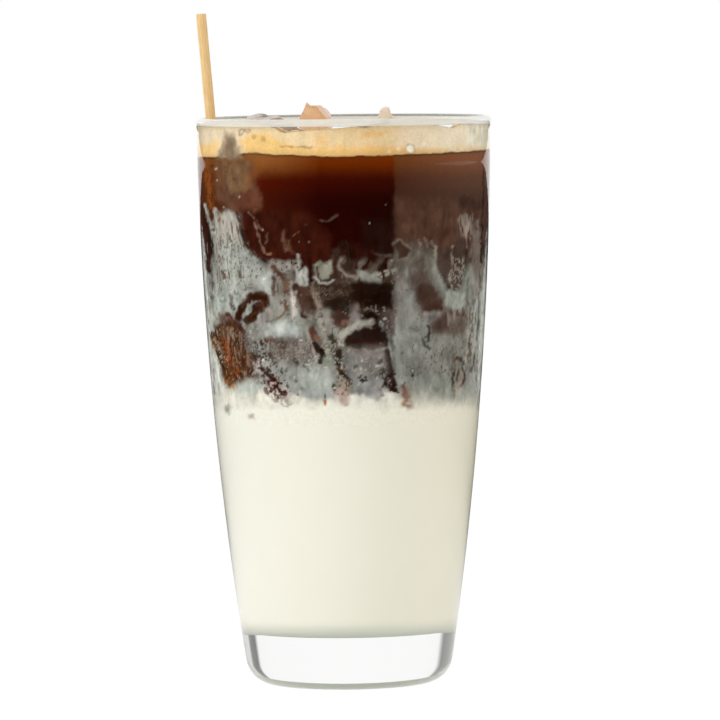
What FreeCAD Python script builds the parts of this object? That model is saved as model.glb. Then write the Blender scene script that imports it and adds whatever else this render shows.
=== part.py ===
"""Thai iced coffee in a tall barrel glass: milk, a marbled band, coffee, foam, tube ice and a slim straw.

Millimetres. +Z is up, the origin is the centre of the foot's resting plane, and -Y is the front.
Every layer of the drink takes its outline from the glass's own inner wall.
"""

import FreeCAD, Part
import math
import os

from FreeCAD import Vector

# ---- glass ----
glass_height = 150.0
foot_radius = 26.4  # where the side wall, run on straight, would meet the resting plane
shoulder_radius = 38.7  # outside, at the top of the barrel curve
barrel_bulge = 2.3  # how far the side stands out from a straight taper
rim_band = 12.0  # upright part between the barrel curve and the rim's crest
rim_bead_proud = 0.45  # fire-polished bead beyond the shoulder
rim_bead_height = 3.6
wall_top = 2.1
wall_low = 2.6
base_thickness = 14.5
heel_round = 7.5
floor_round = 4.5
punt_radius = 16.5
punt_depth = 1.6
barrel_bands = 8  # cones that stand for the arc, each within 0.04 of it

# ---- layers of the drink, counted down from the rim ----
headspace = 2.7
foam_depth = 7.6
coffee_depth = 22.0
marbled_depth = 42.5

# each wave is: height, wavelength, direction in degrees, phase in degrees
froth_waves = ((0.4, 38.0, 15.0, 40.0), (0.3, 25.0, 80.0, 200.0))
foam_foot_waves = ((0.4, 44.0, 20.0, 100.0), (0.2, 27.0, 100.0, 10.0))
swirl_waves = ((3.2, 66.0, 10.0, 60.0), (2.4, 40.0, 75.0, 150.0), (1.3, 30.0, 130.0, 20.0))
settling_waves = ((0.9, 50.0, 30.0, 0.0), (0.6, 33.0, 110.0, 70.0))
surface_grid = 14  # spans of the net that each uneven surface is drawn through

# ---- tube ice: broken rings, and where each stands ----
ice_outer_radius = 14.0
ice_bore_radius = 5.0
ice_melt_round = 1.4
ice_wall_gap = 0.3  # film of drink between the ice and the glass

left_ice_length = 28.0
left_ice_bearing = -140.0  # degrees about +Z from +X, where it stands against the wall
left_ice_sweep = 205.0
left_ice_rise = 4.0  # of its top above the foam

middle_ice_length = 24.0
middle_ice_sweep = 75.0
middle_ice_place = (-16.4, 6.0)  # the ring's axis
middle_ice_rise = 7.2

right_ice_length = 20.0
right_ice_outer_radius = 8.5
right_ice_bore_radius = 4.0
right_ice_sweep = 100.0
right_ice_place = (17.5, 3.0)
right_ice_rise = 5.2

# ---- straw ----
straw_diameter = 2.6
straw_wall = 0.45
straw_above_rim = 27.5
straw_lean = 4.6  # degrees from upright, towards -X
straw_gap = 0.25  # between the straw and the glass where they rest on each other

# ---- worked out from the above ----
barrel_top = glass_height - rim_band
foam_top = glass_height - headspace
coffee_top = foam_top - foam_depth
marbled_top = coffee_top - coffee_depth
milk_top = marbled_top - marbled_depth


class BarrelCurve:
    """The side wall's upright arc, which bulges out from the straight taper between foot and shoulder."""

    def __init__(self):
        foot = Vector(foot_radius, 0, 0)
        shoulder = Vector(shoulder_radius, 0, barrel_top)
        taper = shoulder - foot
        outward = Vector(taper.z, 0, -taper.x).normalize()
        middle = (foot + shoulder) * 0.5 + outward * barrel_bulge
        circle = Part.Arc(foot, middle, shoulder).toShape().Curve
        self.centre = circle.Center
        self.radius = circle.Radius

    def outside(self, z):
        """The outer radius at a height."""
        if z >= barrel_top:
            return shoulder_radius
        return self.centre.x + math.sqrt(self.radius**2 - (z - self.centre.z) ** 2)

    def inside(self, z):
        """The inner radius at a height: the wall thins evenly from the floor to the rim."""
        share = (z - base_thickness) / (glass_height - base_thickness)
        return self.outside(z) - wall_low - (wall_top - wall_low) * share


curve = BarrelCurve()


def wall_points(radius_at, low):
    """Points up a wall from a height to the barrel's top, in bands too short to leave the arc visibly."""
    rise = (barrel_top - low) / barrel_bands
    heights = [low + i * rise for i in range(barrel_bands + 1)]
    return [Vector(radius_at(z), 0, z) for z in heights]


def turned(edges):
    """A solid of revolution about +Z from a closed outline in the XZ plane."""
    face = Part.Face(Part.Wire(edges))
    return face.revolve(Vector(0, 0, 0), Vector(0, 0, 1), 360)


def lines(points):
    """Straight edges from each point to the next."""
    return [Part.makeLine(start, end) for start, end in zip(points, points[1:])]


def arc(start, middle, end):
    return Part.Arc(start, middle, end).toShape()


def ring_edges(shape, radius, z):
    """The round edges of a turned solid at a radius and height."""
    found = []
    for edge in shape.Edges:
        if not edge.Degenerated and isinstance(edge.Curve, Part.Circle):
            same_radius = abs(edge.Curve.Radius - radius) < 0.01
            if same_radius and abs(edge.Curve.Center.z - z) < 0.01:
                found.append(edge)
    return found


def make_cavity():
    """The inside of the glass from its floor to its rim, with the floor's rounded corner."""
    wall = wall_points(curve.inside, base_thickness)
    rim = Vector(curve.inside(glass_height), 0, glass_height)
    axis = [Vector(0, 0, glass_height), Vector(0, 0, base_thickness)]
    cavity = turned(lines(axis + wall + [rim] + axis[:1]))
    return cavity.makeFillet(floor_round, ring_edges(cavity, wall[0].x, base_thickness))


def make_glass():
    """Tall barrel glass: heavy clear base with a shallow punt, thinning wall and a rounded rim bead."""
    wall = wall_points(curve.outside, 0)
    neck = Vector(shoulder_radius, 0, glass_height - rim_bead_height)
    lip_inside = curve.inside(glass_height)
    lip_outside = shoulder_radius + rim_bead_proud
    half = (lip_outside - lip_inside) / 2
    lip = Vector(lip_inside + half, 0, glass_height - half)
    out, up = Vector(half, 0, 0), Vector(0, 0, half)
    slant = (out + up) * math.sqrt(0.5)
    back = (up - out) * math.sqrt(0.5)

    punt_bow = (punt_radius**2 + punt_depth**2) / (2 * punt_depth)
    punt_half = punt_radius / 2
    punt_rise = punt_depth - punt_bow + math.sqrt(punt_bow**2 - punt_half**2)
    punt = [Vector(0, 0, punt_depth), Vector(punt_half, 0, punt_rise), Vector(punt_radius, 0, 0)]

    outline = [arc(*punt)]
    outline += lines([punt[2], *wall, neck, lip + out])
    outline += [arc(lip + out, lip + slant, lip + up), arc(lip + up, lip + back, lip - out)]
    outline += lines([lip - out, Vector(0, 0, lip.z), punt[0]])
    body = turned(outline)
    body = body.makeFillet(heel_round, ring_edges(body, foot_radius, 0))
    return body.cut(make_cavity())


def wavy_height(level, waves, x, y):
    """Height of an uneven surface: its level and a sum of plain waves."""
    height = level
    for rise, length, bearing, phase in waves:
        along = x * math.cos(math.radians(bearing)) + y * math.sin(math.radians(bearing))
        height += rise * math.sin(2 * math.pi * along / length + math.radians(phase))
    return height


def below(level, waves):
    """Everything under an uneven surface that is wider than the glass."""
    reach = shoulder_radius + rim_bead_proud + 2
    step = 2 * reach / surface_grid
    net = []
    for i in range(surface_grid + 1):
        x = -reach + i * step
        ys = [-reach + j * step for j in range(surface_grid + 1)]
        net.append([Vector(x, y, wavy_height(level, waves, x, y)) for y in ys])
    surface = Part.BSplineSurface()
    surface.interpolate(net)
    return surface.toShape().extrude(Vector(0, 0, -2 * glass_height))


def ring_piece(outer, bore, length, sweep, bearing):
    """A standing sector of tube ice with its top at z = 0, all its edges melted round."""
    radial = Part.makePolygon([
        Vector(bore, 0, -length), Vector(outer, 0, -length), Vector(outer, 0, 0),
        Vector(bore, 0, 0), Vector(bore, 0, -length),
    ])
    start = Part.Face(radial)
    start.rotate(Vector(0, 0, 0), Vector(0, 0, 1), bearing - sweep / 2)
    sector = start.revolve(Vector(0, 0, 0), Vector(0, 0, 1), sweep)
    return sector.makeFillet(ice_melt_round, sector.Edges)


def broken(ice, chips):
    """Breaks off what lies beyond each plane, given by a point on it and its normal."""
    size = 6 * ice_outer_radius
    for point, normal in chips:
        block = Part.makeBox(size, size, size, Vector(-size / 2, -size / 2, 0))
        lie = FreeCAD.Rotation(Vector(0, 0, 1), Vector(*normal))
        block.Placement = FreeCAD.Placement(Vector(*point), lie)
        ice = ice.cut(block)
    return ice


def stood(ice, place, top):
    """Stands the ice at a place with its top at a height."""
    ice.translate(Vector(place[0], place[1], top - ice.optimalBoundingBox().ZMax))
    return ice


def make_left_ice():
    """More than half a ring, upright against the front left wall, with a ridged broken top."""
    ice = ring_piece(
        ice_outer_radius, ice_bore_radius, left_ice_length, left_ice_sweep, left_ice_bearing
    )
    ridge = -ice_outer_radius * 0.2
    ice = broken(ice, [
        ((ridge, 0, 0), (0.42, 0.12, 1)),
        ((ridge, 0, 0), (-0.3, -0.1, 1)),
        ((0, 0, -left_ice_length * 0.92), (-0.15, 0.2, -1)),
    ])
    reach = curve.inside(foam_top - left_ice_length) - ice_outer_radius - ice_wall_gap
    bearing = math.radians(left_ice_bearing)
    place = (reach * math.cos(bearing), reach * math.sin(bearing))
    return stood(ice, place, foam_top + left_ice_rise)


def make_middle_ice():
    """A narrower shard with one pointed corner and a lower shoulder that falls away."""
    ice = ring_piece(ice_outer_radius, ice_bore_radius, middle_ice_length, middle_ice_sweep, 0)
    peak = ice_bore_radius + (ice_outer_radius - ice_bore_radius) * 0.25
    shoulder = ice_outer_radius - (ice_outer_radius - ice_bore_radius) * 0.3
    ice = broken(ice, [
        ((peak, 0, 0), (0.45, 0.1, 1)),
        ((peak, 0, 0), (-2.0, 0.15, 1)),
        ((shoulder, 0, -2.2), (1.3, -0.2, 1)),
        ((peak, 0, -middle_ice_length * 0.9), (0.3, -0.15, -1)),
    ])
    return stood(ice, middle_ice_place, foam_top + middle_ice_rise)


def make_right_ice():
    """A thin curved shell of ring that shows only its arched edge."""
    ice = ring_piece(
        right_ice_outer_radius, right_ice_bore_radius, right_ice_length, right_ice_sweep, 180
    )
    crest = -(right_ice_outer_radius + right_ice_bore_radius) / 2
    ice = broken(ice, [
        ((crest, 0, 0), (-0.8, 0.3, 1)),
        ((crest, 0, 0), (0.9, 0.3, 1)),
        ((crest, 0, -right_ice_length * 0.9), (0.2, 0.3, -1)),
    ])
    return stood(ice, right_ice_place, foam_top + right_ice_rise)


class StrawLine:
    """The straw's axis: against the lip at the left, its foot where the rounded corner stops it."""

    def __init__(self):
        self.slope = math.tan(math.radians(straw_lean))
        half = straw_diameter / 2
        self.side = (half + straw_gap) / math.cos(math.radians(straw_lean))
        self.foot = base_thickness + straw_gap
        while self.out(self.foot) + self.side > self.clear(self.foot):
            self.foot += straw_gap
        self.top = glass_height + straw_above_rim

    def out(self, z):
        """Distance of the axis from the glass's own axis at a height."""
        return curve.inside(glass_height) - self.side - (glass_height - z) * self.slope

    def clear(self, z):
        """Inner radius at the straw's foot, less what the floor's rounded corner takes."""
        drop = max(base_thickness + floor_round - z, 0)
        corner = floor_round - math.sqrt(floor_round**2 - drop**2)
        return curve.inside(z) - corner

    def bar(self, radius, extra=0.0):
        """A round bar along the axis, run on by extra at both ends."""
        foot = Vector(-self.out(self.foot), 0, self.foot)
        top = Vector(-self.out(self.top), 0, self.top)
        along = (top - foot).normalize()
        length = foot.distanceToPoint(top) + 2 * extra
        return Part.makeCylinder(radius, length, foot - along * extra, along)


def make_parts():
    """Every piece of the drink, by node name."""
    straw = StrawLine()
    whole_straw = straw.bar(straw_diameter / 2)
    straw_bore = straw.bar(straw_diameter / 2 - straw_wall, extra=1.0)
    ice = {
        "ice_left": make_left_ice(),
        "ice_middle": make_middle_ice(),
        "ice_right": make_right_ice(),
    }

    under_foam_top = below(foam_top, froth_waves)
    under_foam = below(coffee_top, foam_foot_waves)
    under_coffee = below(marbled_top, swirl_waves)
    under_marbled = below(milk_top, settling_waves)

    drink = make_cavity().cut(whole_straw)
    for piece in ice.values():
        drink = drink.cut(piece)

    return {
        "glass": make_glass(),
        "milk": drink.common(under_marbled),
        "marbled": drink.common(under_coffee).cut(under_marbled),
        "coffee": drink.common(under_foam).cut(under_coffee),
        "foam": drink.common(under_foam_top).cut(under_foam),
        "straw": whole_straw.cut(straw_bore),
        **ice,
    }


def main():
    os.makedirs("parts", exist_ok=True)
    for name, shape in make_parts().items():
        shape.exportStep(f"parts/{name}.step")


main()
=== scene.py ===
"""Thai iced coffee in a tall barrel glass: milk, a marbled band, coffee, foam, tube ice and a reed straw.

An add-on layout run as a script. Blender's side is in metres, and names and comments say where
millimetres are used.
"""

import itertools
import math

import bpy
import numpy as np
from mathutils import Matrix, Vector


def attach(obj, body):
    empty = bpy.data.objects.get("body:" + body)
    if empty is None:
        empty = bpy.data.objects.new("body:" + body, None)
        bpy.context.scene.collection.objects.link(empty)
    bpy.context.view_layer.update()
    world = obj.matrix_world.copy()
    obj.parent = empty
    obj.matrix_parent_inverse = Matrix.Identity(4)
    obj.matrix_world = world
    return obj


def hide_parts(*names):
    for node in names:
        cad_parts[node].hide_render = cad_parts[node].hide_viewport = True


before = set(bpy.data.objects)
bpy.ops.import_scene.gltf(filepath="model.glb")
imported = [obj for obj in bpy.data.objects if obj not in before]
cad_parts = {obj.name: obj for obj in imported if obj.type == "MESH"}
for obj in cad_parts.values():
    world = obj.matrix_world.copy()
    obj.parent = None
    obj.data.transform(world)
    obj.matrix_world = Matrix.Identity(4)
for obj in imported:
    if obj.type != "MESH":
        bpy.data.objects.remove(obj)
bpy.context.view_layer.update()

bl_info = {
    "name": "Thai Iced Coffee",
    "version": (1, 0, 0),
    "blender": (4, 5, 0),
    "location": "View3D > Sidebar > Iced Coffee",
    "description": "Builds a layered iced coffee in its glass, with ice, foam and a straw",
    "category": "Object",
}

MM = 0.001

# where the drink is looked at from, in millimetres: the marks on its side are placed as they show from there
VIEW_HEIGHT = 183.0
VIEW_DISTANCE = 1750.0

# a height in the middle of the drink, where its width is taken
MID_HEIGHT = 100 * MM


# ---------------------------------------------------------------- sizes and colours a user may change


def length(name, description, millimetres):
    """A length property, given in millimetres and kept in metres."""
    return bpy.props.FloatProperty(
        name=name, description=description, default=millimetres * MM, unit="LENGTH", precision=5
    )


def colour(name, description, code):
    """A colour property from an sRGB hex code."""
    return bpy.props.FloatVectorProperty(
        name=name, description=description, default=linear(code), subtype="COLOR", size=3, min=0, max=1
    )


def linear(code):
    """Linear red, green and blue of an sRGB hex code such as #F3EEE0."""
    parts = [int(code[i:i + 2], 16) / 255 for i in (1, 3, 5)]
    return tuple(c / 12.92 if c <= 0.04045 else ((c + 0.055) / 1.055) ** 2.4 for c in parts)


class GlassSizes(bpy.types.PropertyGroup):
    height: length("Height", "Foot to rim", 150.0)
    foot_radius: length("Foot radius", "Where the side would meet the table", 26.4)
    shoulder_radius: length("Shoulder radius", "Outside, at the top of the barrel curve", 38.7)
    barrel_bulge: length("Barrel bulge", "How far the side stands out from a straight taper", 2.3)
    rim_band: length("Rim band", "Upright part above the barrel curve", 12.0)
    rim_bead_proud: length("Rim bead", "How far the fire-polished bead stands out", 0.45)
    rim_bead_height: length("Rim bead height", "Depth of the bead below the rim", 3.6)
    wall_top: length("Wall at the rim", "Thickness of the wall at the rim", 2.1)
    wall_low: length("Wall at the floor", "Thickness of the wall at the floor", 2.6)
    base_thickness: length("Base", "Table to the inner floor", 14.5)
    heel_round: length("Heel round", "Radius of the outer bottom corner", 7.5)
    floor_round: length("Floor round", "Radius of the inner bottom corner", 4.5)
    punt_radius: length("Punt radius", "Radius of the hollow under the foot", 16.5)
    punt_depth: length("Punt depth", "Depth of the hollow under the foot", 1.6)
    tint: colour("Glass tint", "Colour of light through the glass", "#FCFDFC")


class DrinkSizes(bpy.types.PropertyGroup):
    into_wall: length("Reach into the wall", "How far the drink's side lies inside the glass", 0.2)
    milk_high: length("Milk top", "Height where the plain milk ends", 70.0)
    marbled_high: length("Marbled top", "Height where the plain coffee starts", 128.0)
    coffee_high: length("Coffee top", "Height of the coffee under the foam", 139.9)
    froth: colour("Foam", "Colour of the foam's top", "#EBCFA2")
    froth_pits: colour("Foam pits", "Colour between the foam's bubbles", "#C99A5C")


class IceLook(bpy.types.PropertyGroup):
    grain: length("Remesh size", "Size of the ice meshes' faces", 0.45)
    melt: length("Melt", "Depth of the hollows that melting leaves", 0.35)


class StrawSizes(bpy.types.PropertyGroup):
    diameter: length("Diameter", "Outside diameter", 2.6)
    wall: length("Wall", "Thickness of the reed's wall", 0.45)
    fibre: length("Fibre", "Width of the reed's lengthwise fibres", 0.22)
    reed: colour("Reed", "Colour of the dry reed", "#FBD79A")
    reed_dark: colour("Reed fibres", "Colour between the fibres", "#D2A768")


class StageSettings(bpy.types.PropertyGroup):
    camera_distance: length("Camera distance", "From the glass's axis", VIEW_DISTANCE)
    camera_height: length("Camera height", "Above the table", VIEW_HEIGHT)
    lens: bpy.props.FloatProperty(name="Lens", description="Focal length in millimetres", default=331.0)
    roll: bpy.props.FloatProperty(
        name="Roll", description="Turn of the camera about its view", default=math.radians(0.65),
        subtype="ANGLE"
    )


# ---------------------------------------------------------------- helpers


def sizes_of(group):
    """One of the scene's groups of settings, by name."""
    return getattr(bpy.context.scene.iced_coffee, group)


def add(tree, kind, values=None, links=None):
    """Adds a shader node, sets its properties or inputs by name and links its inputs to sockets."""
    node = tree.nodes.new(kind)
    for name, value in (values or {}).items():
        if isinstance(name, str) and hasattr(node, name):
            setattr(node, name, value)
        else:
            node.inputs[name].default_value = value
    for name, source in (links or {}).items():
        tree.links.new(source, node.inputs[name])
    return node


def new_material(name):
    """A material with nothing in its node tree yet, and the tree."""
    material = bpy.data.materials.new(name)
    material.use_nodes = True
    material.node_tree.nodes.clear()
    return material, material.node_tree


def finish_material(material, shader):
    """Gives the material its surface."""
    add(material.node_tree, "ShaderNodeOutputMaterial", links={"Surface": shader})
    return material


def new_piece(name, verts, faces, material, slot, *replaced, paint=None):
    """A mesh piece that rides on the body, stands for CAD nodes and may carry a colour at each point."""
    mesh = bpy.data.meshes.new(name)
    mesh.from_pydata([tuple(v) for v in verts], [], faces)
    mesh.validate()
    mesh.shade_smooth()
    if paint is not None:
        layer = mesh.color_attributes.new("paint", "FLOAT_COLOR", "POINT")
        opaque = np.column_stack([paint, np.ones(len(paint))]).astype(np.float32)
        layer.data.foreach_set("color", opaque.ravel())
    piece = bpy.data.objects.new(name, mesh)
    bpy.context.collection.objects.link(piece)
    mesh.materials.append(material)
    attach(piece, "root")
    if replaced:
        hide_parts(*replaced)
    return piece


def join_rows(counts):
    """Faces between rows of points, given each row's count, which is 1 where a row is a single point."""
    faces, first = [], 0
    for low, high in zip(counts, counts[1:]):
        columns = max(low, high)
        for i in range(columns):
            j = (i + 1) % columns
            corners = [first + i % low, first + j % low, first + low + j % high, first + low + i % high]
            faces.append([c for k, c in enumerate(corners) if c != corners[k - 1]])
        first += low
    return faces


def lathe(profile, turns):
    """A profile of (radius, height) points turned about +Z, with one column at each bearing from -Y."""
    rows = []
    for radius, height in profile:
        columns = turns if radius > 1e-9 else turns[:1]
        level = np.full(len(columns), height)
        rows.append(np.column_stack([radius * np.sin(columns), -radius * np.cos(columns), level]))
    return np.concatenate(rows), join_rows([len(row) for row in rows])


def even_turns(count):
    """Bearings spread evenly all round."""
    return np.arange(count) * 2 * math.pi / count


def front_fine_turns(step, back_step, radius):
    """Bearings closely spaced on the half that faces the viewer and wider behind."""
    edge = math.radians(96)
    front = np.linspace(-edge, edge, round(2 * edge * radius / step))
    back = np.linspace(edge, 2 * math.pi - edge, round((2 * math.pi - 2 * edge) * radius / back_step))
    return np.concatenate([front, back[1:-1]])


def arc_points(centre, radius, start, end, count):
    """Points of a circular arc in the profile's plane, angles in degrees from +radius towards +height."""
    angles = np.radians(np.linspace(start, end, count))
    return [(centre[0] + radius * math.cos(a), centre[1] + radius * math.sin(a)) for a in angles]


def clouds(points, size, seed, octaves=3):
    """Smooth noise, about -1 to 1, over points in millimetres, with lumps of the given size or sizes."""
    lattice = np.random.default_rng(seed).uniform(-1, 1, (32, 32, 32))
    total = 0
    for octave in range(octaves):
        place = points / size * 2**octave + 11.3 * octave
        cell = np.floor(place).astype(int)
        part = place - cell
        part = part * part * (3 - 2 * part)
        for corner in itertools.product((0, 1), repeat=3):
            i, j, k = ((cell + corner) % 32).T
            total += lattice[i, j, k] * np.prod(np.where(corner, part, 1 - part), axis=1) / 2**octave
    return total * 1.25


def ramp(value, low, high):
    """A smooth step from 0 at low to 1 at high."""
    share = np.clip((value - low) / (high - low), 0, 1)
    return share * share * (3 - 2 * share)


class Barrel:
    """The glass's side: an upright arc between the foot and the shoulder, and the wall inside it."""

    def __init__(self, sizes):
        self.sizes = sizes
        self.top = sizes.height - sizes.rim_band
        chord = Vector((sizes.shoulder_radius - sizes.foot_radius, self.top))
        outward = Vector((chord.y, -chord.x)).normalized()
        half = chord.length / 2
        self.radius = (half**2 + sizes.barrel_bulge**2) / (2 * sizes.barrel_bulge)
        middle = Vector((sizes.foot_radius, 0)) + chord / 2
        self.centre = middle - outward * (self.radius - sizes.barrel_bulge)

    def outside(self, z):
        """The outer radius at a height."""
        if z >= self.top:
            return self.sizes.shoulder_radius
        return self.centre.x + math.sqrt(self.radius**2 - (z - self.centre.y) ** 2)

    def inside(self, z):
        """The inner radius at a height. The wall grows thinner towards the rim."""
        s = self.sizes
        share = (z - s.base_thickness) / (s.height - s.base_thickness)
        return self.outside(z) - s.wall_low - (s.wall_top - s.wall_low) * share


def corner_arc(radius_at, floor, round_radius, count):
    """Points from a level floor round to a leaning wall."""
    lean = math.atan2(radius_at(floor + round_radius) - radius_at(floor), round_radius)
    back = round_radius * math.tan((math.pi / 2 - lean) / 2)
    centre = (radius_at(floor) - back, floor + round_radius)
    return arc_points(centre, round_radius, -90, -math.degrees(lean), count)


def lip_circle(sizes, barrel):
    """Half the lip's thickness, and the centre of its round top in the profile's plane."""
    lip_in, lip_out = barrel.inside(sizes.height), sizes.shoulder_radius + sizes.rim_bead_proud
    half = (lip_out - lip_in) / 2
    return half, (lip_in + half, sizes.height - half)


def glass_profile(sizes, barrel):
    """The glass's closed outline from the middle of the punt, up the outside and down to the inner floor."""
    bow = (sizes.punt_radius**2 + sizes.punt_depth**2) / (2 * sizes.punt_depth)
    points = []
    for r in np.linspace(0, sizes.punt_radius, 14):
        points.append((r, sizes.punt_depth - bow + math.sqrt(bow**2 - r**2)))
    points += corner_arc(barrel.outside, 0, sizes.heel_round, 16)
    points += [(barrel.outside(z), z) for z in np.linspace(points[-1][1], barrel.top, 60)[1:]]
    neck = sizes.height - sizes.rim_bead_height
    half, lip = lip_circle(sizes, barrel)
    points.append((sizes.shoulder_radius, neck))
    points.append((sizes.shoulder_radius + sizes.rim_bead_proud * 0.35, neck + (lip[1] - neck) * 0.4))
    points += arc_points(lip, half, 0, 180, 22)
    corner = corner_arc(barrel.inside, sizes.base_thickness, sizes.floor_round, 14)
    points += [(barrel.inside(z), z) for z in np.linspace(lip[1], corner[-1][1], 70)[1:-1]]
    points += corner[::-1]
    points += [(r, sizes.base_thickness) for r in np.linspace(corner[0][0], 0, 8)[1:]]
    return points


# ---------------------------------------------------------------- the drink's side, through the wall
#
# Marks are laid one over another, from broad to fine, in millimetres as seen from the front: across from
# the axis, and up from the table. Each is a colour, how fully it covers, how soft its edge is, how broken it
# is (into specks, or into streaks where below zero), its width (at one point, at both ends, or None for the
# area inside the points), and its points.

COFFEE_AND_ICE = (
    # the piece of tube ice against the left wall, brown light coming through it
    ("#6E4B34", .85, 1.6, 0, None, ((-33.5, 140.5), (-23.6, 140.5), (-22.6, 134), (-21.5, 130),
        (-21.7, 127.4), (-23.2, 125.4), (-26, 125.2), (-30, 127), (-33.4, 131))),
    ("#77593E", .9, 1.6, 0, None, ((-31, 139.6), (-25, 140), (-24, 134), (-26, 131), (-31, 132))),
    ("#5E3D2D", .8, 1.2, .1, None, ((-32.5, 133), (-25, 132), (-23, 128), (-26, 126), (-32.5, 128.5))),
    ("#66392A", .75, .8, 0, (5.4, 6.6), ((-25.4, 128.6), (-25, 129.4))),
    ("#8A4C26", .35, 1.8, 0, (2.2, 3), ((-22.6, 138.4), (-24.2, 135.4))),
    # amber along the coffee's left edge: painted light, passing through that thin edge
    ("#8A4A1C", .8, .9, .1, (1.8, 1.2), ((-36, 140.4), (-35.4, 134), (-34.9, 128.6))),
    ("#8C7058", .5, .4, .2, (.5, .5), ((-29.6, 139), (-29.4, 131.4))),
    ("#54382A", .6, .4, .1, (.6, .5), ((-30.8, 138.6), (-30.5, 130))),
    ("#8C6E54", .4, .5, .2, (.7, .4), ((-26.8, 138), (-27.4, 130.4))),
    ("#3E2114", .7, .4, 0, (.5, .3), ((-32, 129.4), (-29.6, 127.6), (-27.6, 126.6), (-24.4, 125.6),
        (-22, 126.8))),
    ("#D8C4A8", .8, .3, 0, .5, ((-33.2, 138.3),)),
    ("#D8C4A8", .8, .3, 0, .5, ((-32.9, 135.2),)),
    ("#D2BDA4", .8, .3, 0, .55, ((-27.1, 130.7),)),
    ("#CDB9A2", .8, .3, 0, .5, ((-31.4, 128.1),)),
    ("#2C140A", .8, .3, 0, .6, ((-28.5, 135.6),)),
    ("#2C140A", .8, .3, 0, .6, ((-34.4, 138.9),)),
)

# where the foam's side ends on the coffee, across and up
FOAM_FOOT = (
    (-38, 141.5), (-31, 141.5), (-27, 142.0), (-23, 142.6), (-17, 141.9), (-4, 141.2), (12, 141.3),
    (25, 141.8), (34.5, 142.4), (38, 142.6),
)

FOAM = (
    ("#FFF3DC", .75, 2, 0, None, ((31.6, 151), (38.6, 151), (38.6, 144), (32.4, 143.6))),
    # ice seen through the foam's side, and the larger bubbles against the wall
    ("#EBDCC4", .7, 1.4, 0, None, ((-31.2, 148.8), (-28, 148.8), (-25.6, 142.6), (-33.2, 142.4))),
    ("#B8A084", .9, 1.1, 0, None, ((-30.6, 148), (-28.6, 148), (-26.6, 141.4), (-32.6, 141.2))),
    ("#85705A", .95, 1.6, 0, None, ((-30.2, 146.4), (-28.8, 146.4), (-26.8, 140.8), (-32.4, 140.8))),
    ("#FFCB84", .6, 1.2, 0, None, ((-7.4, 147), (-4, 147.2), (-4, 144.6), (-7.4, 144.6))),
    ("#F6BE72", .6, 1, 0, None, ((4.4, 147.6), (11.4, 147.8), (9.6, 146), (4.4, 146))),
    ("#8A6A44", .7, .3, 0, 1.7, ((-26.3, 148),)),
    ("#EAD9BC", .9, .3, 0, 1.0, ((-26.3, 148),)),
    ("#8A6A44", .7, .3, 0, 1.4, ((-24.7, 148.3),)),
    ("#EAD9BC", .9, .3, 0, .8, ((-24.7, 148.3),)),
    ("#C49A60", .6, .3, 0, 1.3, ((-22.9, 146.8),)),
    ("#C49A60", .6, .3, 0, 1.3, ((-20.7, 146),)),
    ("#5A4636", .8, .4, 0, (.4, .5), ((3.8, 149), (7.4, 149.3), (11.6, 149.8))),
    ("#B08048", .7, .4, 0, 2.5, ((17.3, 143),)),
    ("#FBF0DC", .95, .4, 0, 1.9, ((17.3, 143),)),
    ("#F4E2C2", .85, .4, 0, 1.2, ((14.1, 143),)),
    ("#F0D8B0", .85, .4, 0, 1.2, ((11.5, 142.5),)),
    ("#F4E6CC", .85, .4, 0, 1.1, ((20.5, 144.4),)),
    ("#F4E6CC", .85, .4, 0, 1.1, ((28.4, 143),)),
    ("#F4E6CC", .85, .4, 0, 1.0, ((30.5, 143),)),
    ("#8A5A2C", .6, .4, .1, (.3, .4), ((-16, 144), (-8, 143.6))),
)

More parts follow.
